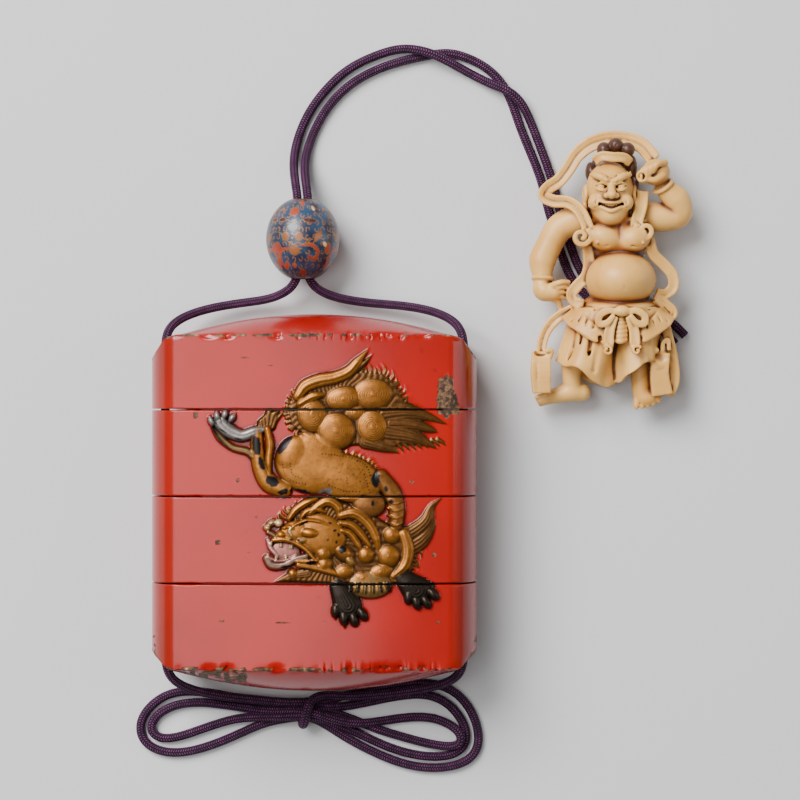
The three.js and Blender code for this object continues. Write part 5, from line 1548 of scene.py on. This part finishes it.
def ivory_paint():
    paint = Paint("aged ivory", IOR=1.52, Subsurface_Radius=(0.0022, 0.0014, 0.0008), Subsurface_Scale=0.6,
                  Subsurface_Weight=0.03, Specular_IOR_Level=0.35)
    cavity, depth, hair = paint.attribute("cavity"), paint.attribute("depth"), paint.attribute("hair")
    cloud = paint.noise(90, 3, 0.5)
    grain = paint.noise(700, 3, 0.6)
    stretched = paint.noise(300, 2, 0.5, paint.stretched((1, 0.12, 1), 0.2))
    base = paint.mix(cloud.step(0.3, 0.7), linear(222, 172, 94), linear(206, 150, 72))
    base = paint.mix(stretched.step(0.5, 0.75) * 0.3, base, linear(178, 118, 52))
    base = paint.mix(depth.step(0.42, 0.66) * 0.9, base, linear(140, 74, 26))
    stain = cavity.step(0.51, 0.66) * (0.7 + grain * 0.5)
    base = paint.mix(stain, base, linear(78, 34, 10))
    base = paint.mix(cavity.step(0.64, 0.8) * 0.9, base, linear(26, 11, 5))
    brown = paint.mix(grain, linear(46, 24, 15), linear(82, 48, 32))
    base = paint.mix(hair.step(0.35, 0.65), base, brown)
    rough = 0.34 + grain * 0.12 + cavity.step(0.5, 0.9) * 0.25
    return paint.surface(Base_Color=base, Roughness=rough,
                         Normal=paint.bump(grain * 0.6 + stretched * 0.4, 0.00012, 0.35))


# ======================================================================= the bead
ENAMEL_BLUE = linear(10, 38, 66)
WIRE = linear(150, 98, 40)


def painted_enamel():
    """The bead's surface laid out flat: round it left to right, along it upwards."""
    e = Relief(-25.0, 25.0, -9.2, 9.2)
    e.tint += np.array(ENAMEL_BLUE)
    e.high += 0.001
    gx, gy = np.meshgrid(e.x, e.y)
    e.tint += (lumps(gx, gy, 2.2, 71)[..., None] - 0.5) * np.array(linear(30, 60, 80)) * 1.4
    orange, ochre, wine, cream = linear(146, 42, 14), linear(128, 70, 22), linear(52, 10, 14), linear(190,
                                                                                                      170,
                                                                                                      122)

    def blob(x, y, rx, ry, turn, colour):
        e.mound(x, y, rx + 0.13, ry + 0.13, 0.012, turn, WIRE, steep=0.2)
        e.mound(x, y, rx, ry, 0.02, turn, colour, steep=0.05)

    def scroll(points, width, colour):
        e.stroke(points, [w + 0.24 for w in width], 0.012, WIRE, steep=0.2)
        e.stroke(points, width, 0.02, colour, steep=0.05)

    # Small wire curls all over the ground
    dice = np.random.default_rng(17)
    for y in np.arange(-7.6, 8, 1.55):
        for x in np.arange(-24, 24, 1.7) + dice.uniform(-0.4, 0.4):
            start, side = dice.uniform(0, TAU), dice.choice((-1, 1))
            turns = start + side * np.linspace(0, 4.4, 6)
            sizes = np.linspace(0.62, 0.2, 6)
            e.stroke(list(zip(x + sizes * np.cos(turns), y + sizes * np.sin(turns))), (0.17, 0.15), 0.01,
                     WIRE, steep=0.3)

    for turn in range(4):
        u = (turn - 2) * 12.25 + 0.2 + (0.4, 0, -0.5, 0.2)[turn]
        flip = (1, -1, 1, 1)[turn]
        for x, y, rx, ry, lean, colour in (
            (0.4, 7.4, 0.85, 0.6, 0, orange), (-1.7, 5.5, 1.2, 0.85, 0.1, orange),
            (-4.6, 3.8, 0.95, 0.4, 0, wine),
            (2.2, 3.6, 1.5, 0.42, -0.1, wine), (3.6, 6.2, 0.42, 0.5, 0.5, cream),
            (-3.3, 0.2, 0.75, 0.8, 0, ochre),
            (-0.3, 0.2, 0.75, 0.8, 0, ochre), (-1.4, -2.7, 1.1, 0.95, 0, ochre),
            (3.9, 0.3, 1.2, 0.5, 0.9, ochre),
            (5.6, -1.4, 0.65, 0.4, -0.6, cream), (-6.4, -2.2, 0.8, 1.1, 0, orange),
            (-1.8, -5.8, 0.5, 0.38, 0, orange),
            (0.6, -7.3, 1.1, 0.6, 0, orange), (-5.4, 1.6, 0.5, 0.45, 0, ENAMEL_BLUE),
            (-1.8, 2.2, 1.1, 0.9, 0, linear(70, 88, 100)),
        ):
            blob(u + flip * x, y, rx, ry, flip * lean, colour)
        scroll([(u + flip * x, y) for x,
                y in ((-2.4, -2.3), (-4.4, -2.6), (-5.5, -4.4), (-4.8, -6.2), (-3.7, -5.4))],
               (0.3, 0.55, 0.6, 0.7, 0.75), orange)
        scroll([(u + flip * x, y) for x,
                y in ((0.1, -1.7), (2.4, -1.6), (4, -2.9), (3.5, -4.6), (2.1, -4.1))],
               (0.3, 0.6, 0.65, 0.7, 0.75), orange)
        for line in (
            ((-5.2, 1.2), (-4.2, 0.6), (-3.9, -0.6)), ((0.6, -0.2), (1.6, -0.6), (2.6, -0.4)),
            ((-2.8, -0.8), (-1.6, -1.6), (-0.4, -1)), ((-6.6, 5.6), (-5.6, 6.2), (-4.6, 5.6)),
            ((4.6, 4.6), (5.4, 3.8), (5.2, 2.6)),
        ):
            e.stroke([(u + flip * x, y) for x, y in line], (0.2, 0.24, 0.18), 0.018, WIRE, steep=0.3)
    return e


def make_bead():
    cx, cy, cz = BEAD["centre"]
    radius, length, bore = BEAD["radius"], BEAD["length"], BEAD["bore"]
    lip = math.sqrt(1 - (bore / radius) ** 2)
    around, rows = 300, 110
    profile = [
        (radius * math.cos(angle), length / 2 * math.sin(angle))
        for angle in np.linspace(-math.asin(lip), math.asin(lip), rows + 1)
    ]
    profile += [(bore, y) for y in np.linspace(length / 2 * lip, -length / 2 * lip, 10)[1:-1]]
    angles = np.arange(around) / around * TAU
    rings = [
        np.stack([cx + r * np.cos(angles), np.full(around, cy + y),
                  np.maximum(0.02, cz + r * np.sin(angles))], 1)
        for r, y in profile
    ]
    points = np.vstack(rings)
    count = len(profile)
    k, s = np.meshgrid(np.arange(count), np.arange(around), indexing="ij")
    n, t = (k + 1) % count, (s + 1) % around
    faces = np.stack([k * around + s, n * around + s, n * around + t, k * around + t], -1).reshape(-1, 4)
    art = painted_enamel()
    x, y, z = (points - np.array([cx, cy, cz])).T
    pole = np.hypot(x, z)
    flat = np.arctan2(x, z) * radius
    outside = (pole > bore + 0.1).astype(float)
    height = art.sample(art.high, flat, y) * outside * smoothstep(np.abs(flat), 24.4, 23.4)
    points[:, 0] += x / pole * height
    points[:, 2] = np.maximum(0.02, points[:, 2] + z / pole * height)
    bead = mesh_object("ojime_enamel", points, faces.tolist())
    colours = art.sample(art.tint, flat, y)
    collar = 1 - smoothstep(pole, bore + 0.35, bore + 0.7)
    gilt = np.clip(1 - np.linalg.norm(colours - np.array(WIRE), axis=1) / 0.12, 0, 1)
    colours = colours * (1 - collar[:, None]) + np.array(WIRE) * 0.6 * collar[:, None]
    set_colour(bead, "tint", np.clip(colours * outside[:, None] + 0.01, 0, 1))
    set_attribute(bead, "gilt", np.maximum(gilt, collar) * outside)
    return bead


def enamel_paint():
    paint = Paint("cloisonne enamel", Coat_Weight=0.3, Coat_Roughness=0.2, Specular_IOR_Level=0.4)
    tint, gilt = paint.attribute("tint", out="Color"), paint.attribute("gilt")
    cloud, speck = paint.noise(150, 3, 0.55), paint.noise(1100, 3, 0.65)
    colour = paint.mix(speck.step(0.55, 0.75) * 0.4 * (1 - gilt), tint, linear(70, 90, 100))
    colour = paint.mix(cloud.step(0.5, 0.7) * 0.35 * (1 - gilt), colour, linear(8, 16, 26))
    height = speck * 0.4 + gilt * 0.3
    return paint.surface(
        Base_Color=colour, Metallic=gilt * 0.7, Roughness=0.26 + speck * 0.25,
        Normal=paint.bump(height, 0.00012, 0.5)
    )


# ======================================================================= floor and light
def add_floor():
    bpy.ops.mesh.primitive_plane_add(size=4.0, location=(0, 0, -0.00002))
    floor = bpy.context.active_object
    floor.name = "floor"
    paint = Paint("plain backdrop", Roughness=0.9)
    paint.shader.inputs["Specular IOR Level"].default_value = 0.1
    floor.data.materials.append(paint.surface(Base_Color=linear(196, 196, 197)))


def add_light(name, place, aim, size, watts, colour=(1, 1, 1), height=None):
    lamp = bpy.data.lights.new(name, "AREA")
    lamp.shape = "RECTANGLE"
    lamp.size, lamp.size_y = size, height or size
    lamp.energy = watts
    lamp.color = colour
    made = bpy.data.objects.new(name, lamp)
    made.location = place
    made.rotation_euler = (Vector(aim) - Vector(place)).to_track_quat("-Z", "Y").to_euler()
    bpy.context.scene.collection.objects.link(made)


def add_lights():
    world = bpy.data.worlds.new("studio")
    bpy.context.scene.world = world
    world.use_nodes = True
    world.node_tree.nodes["Background"].inputs["Color"].default_value = (1, 1, 1, 1)
    world.node_tree.nodes["Background"].inputs["Strength"].default_value = 0.2
    aim = (0.02, 0.02, 0)
    add_light("key", (-0.6, 0.7, 1.0), aim, 0.8, 44)
    add_light("top", (-0.3, -0.05, 0.95), aim, 0.42, 4, height=0.8)
    add_light("side", (0.75, 0.1, 0.35), aim, 0.16, 1.5, height=0.9)


# ======================================================================= assembly
def dress(piece, material, slot, *nodes):
    piece.data.materials.append(material)
    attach(piece, "root")
    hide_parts(*nodes)


cord, cord_path = make_cord()
bead = make_bead()
toggle = make_toggle()
dress(cord, silk_paint(), "silk", "cord_left", "cord_right", "cord_wrap_left", "cord_wrap_right", "cord_bow")
dress(bead, enamel_paint(), "enamel", "ojime")
dress(toggle, ivory_paint(), "ivory", "netsuke")

lacquer = lacquer_paint()
for piece, node in (
    (make_lid(), "lid"),
    (make_tray("case_upper_lacquered", SEAM_UPPER, SEAM_LID, (-22.6, 29)), "case_upper"),
    (make_tray("case_middle_lacquered", SEAM_MIDDLE, SEAM_UPPER, (-11.5, 29)), "case_middle"),
    (make_lower(), "case_lower"),
):
    dress(piece, lacquer, "lacquer", node)

add_floor()
add_lights()
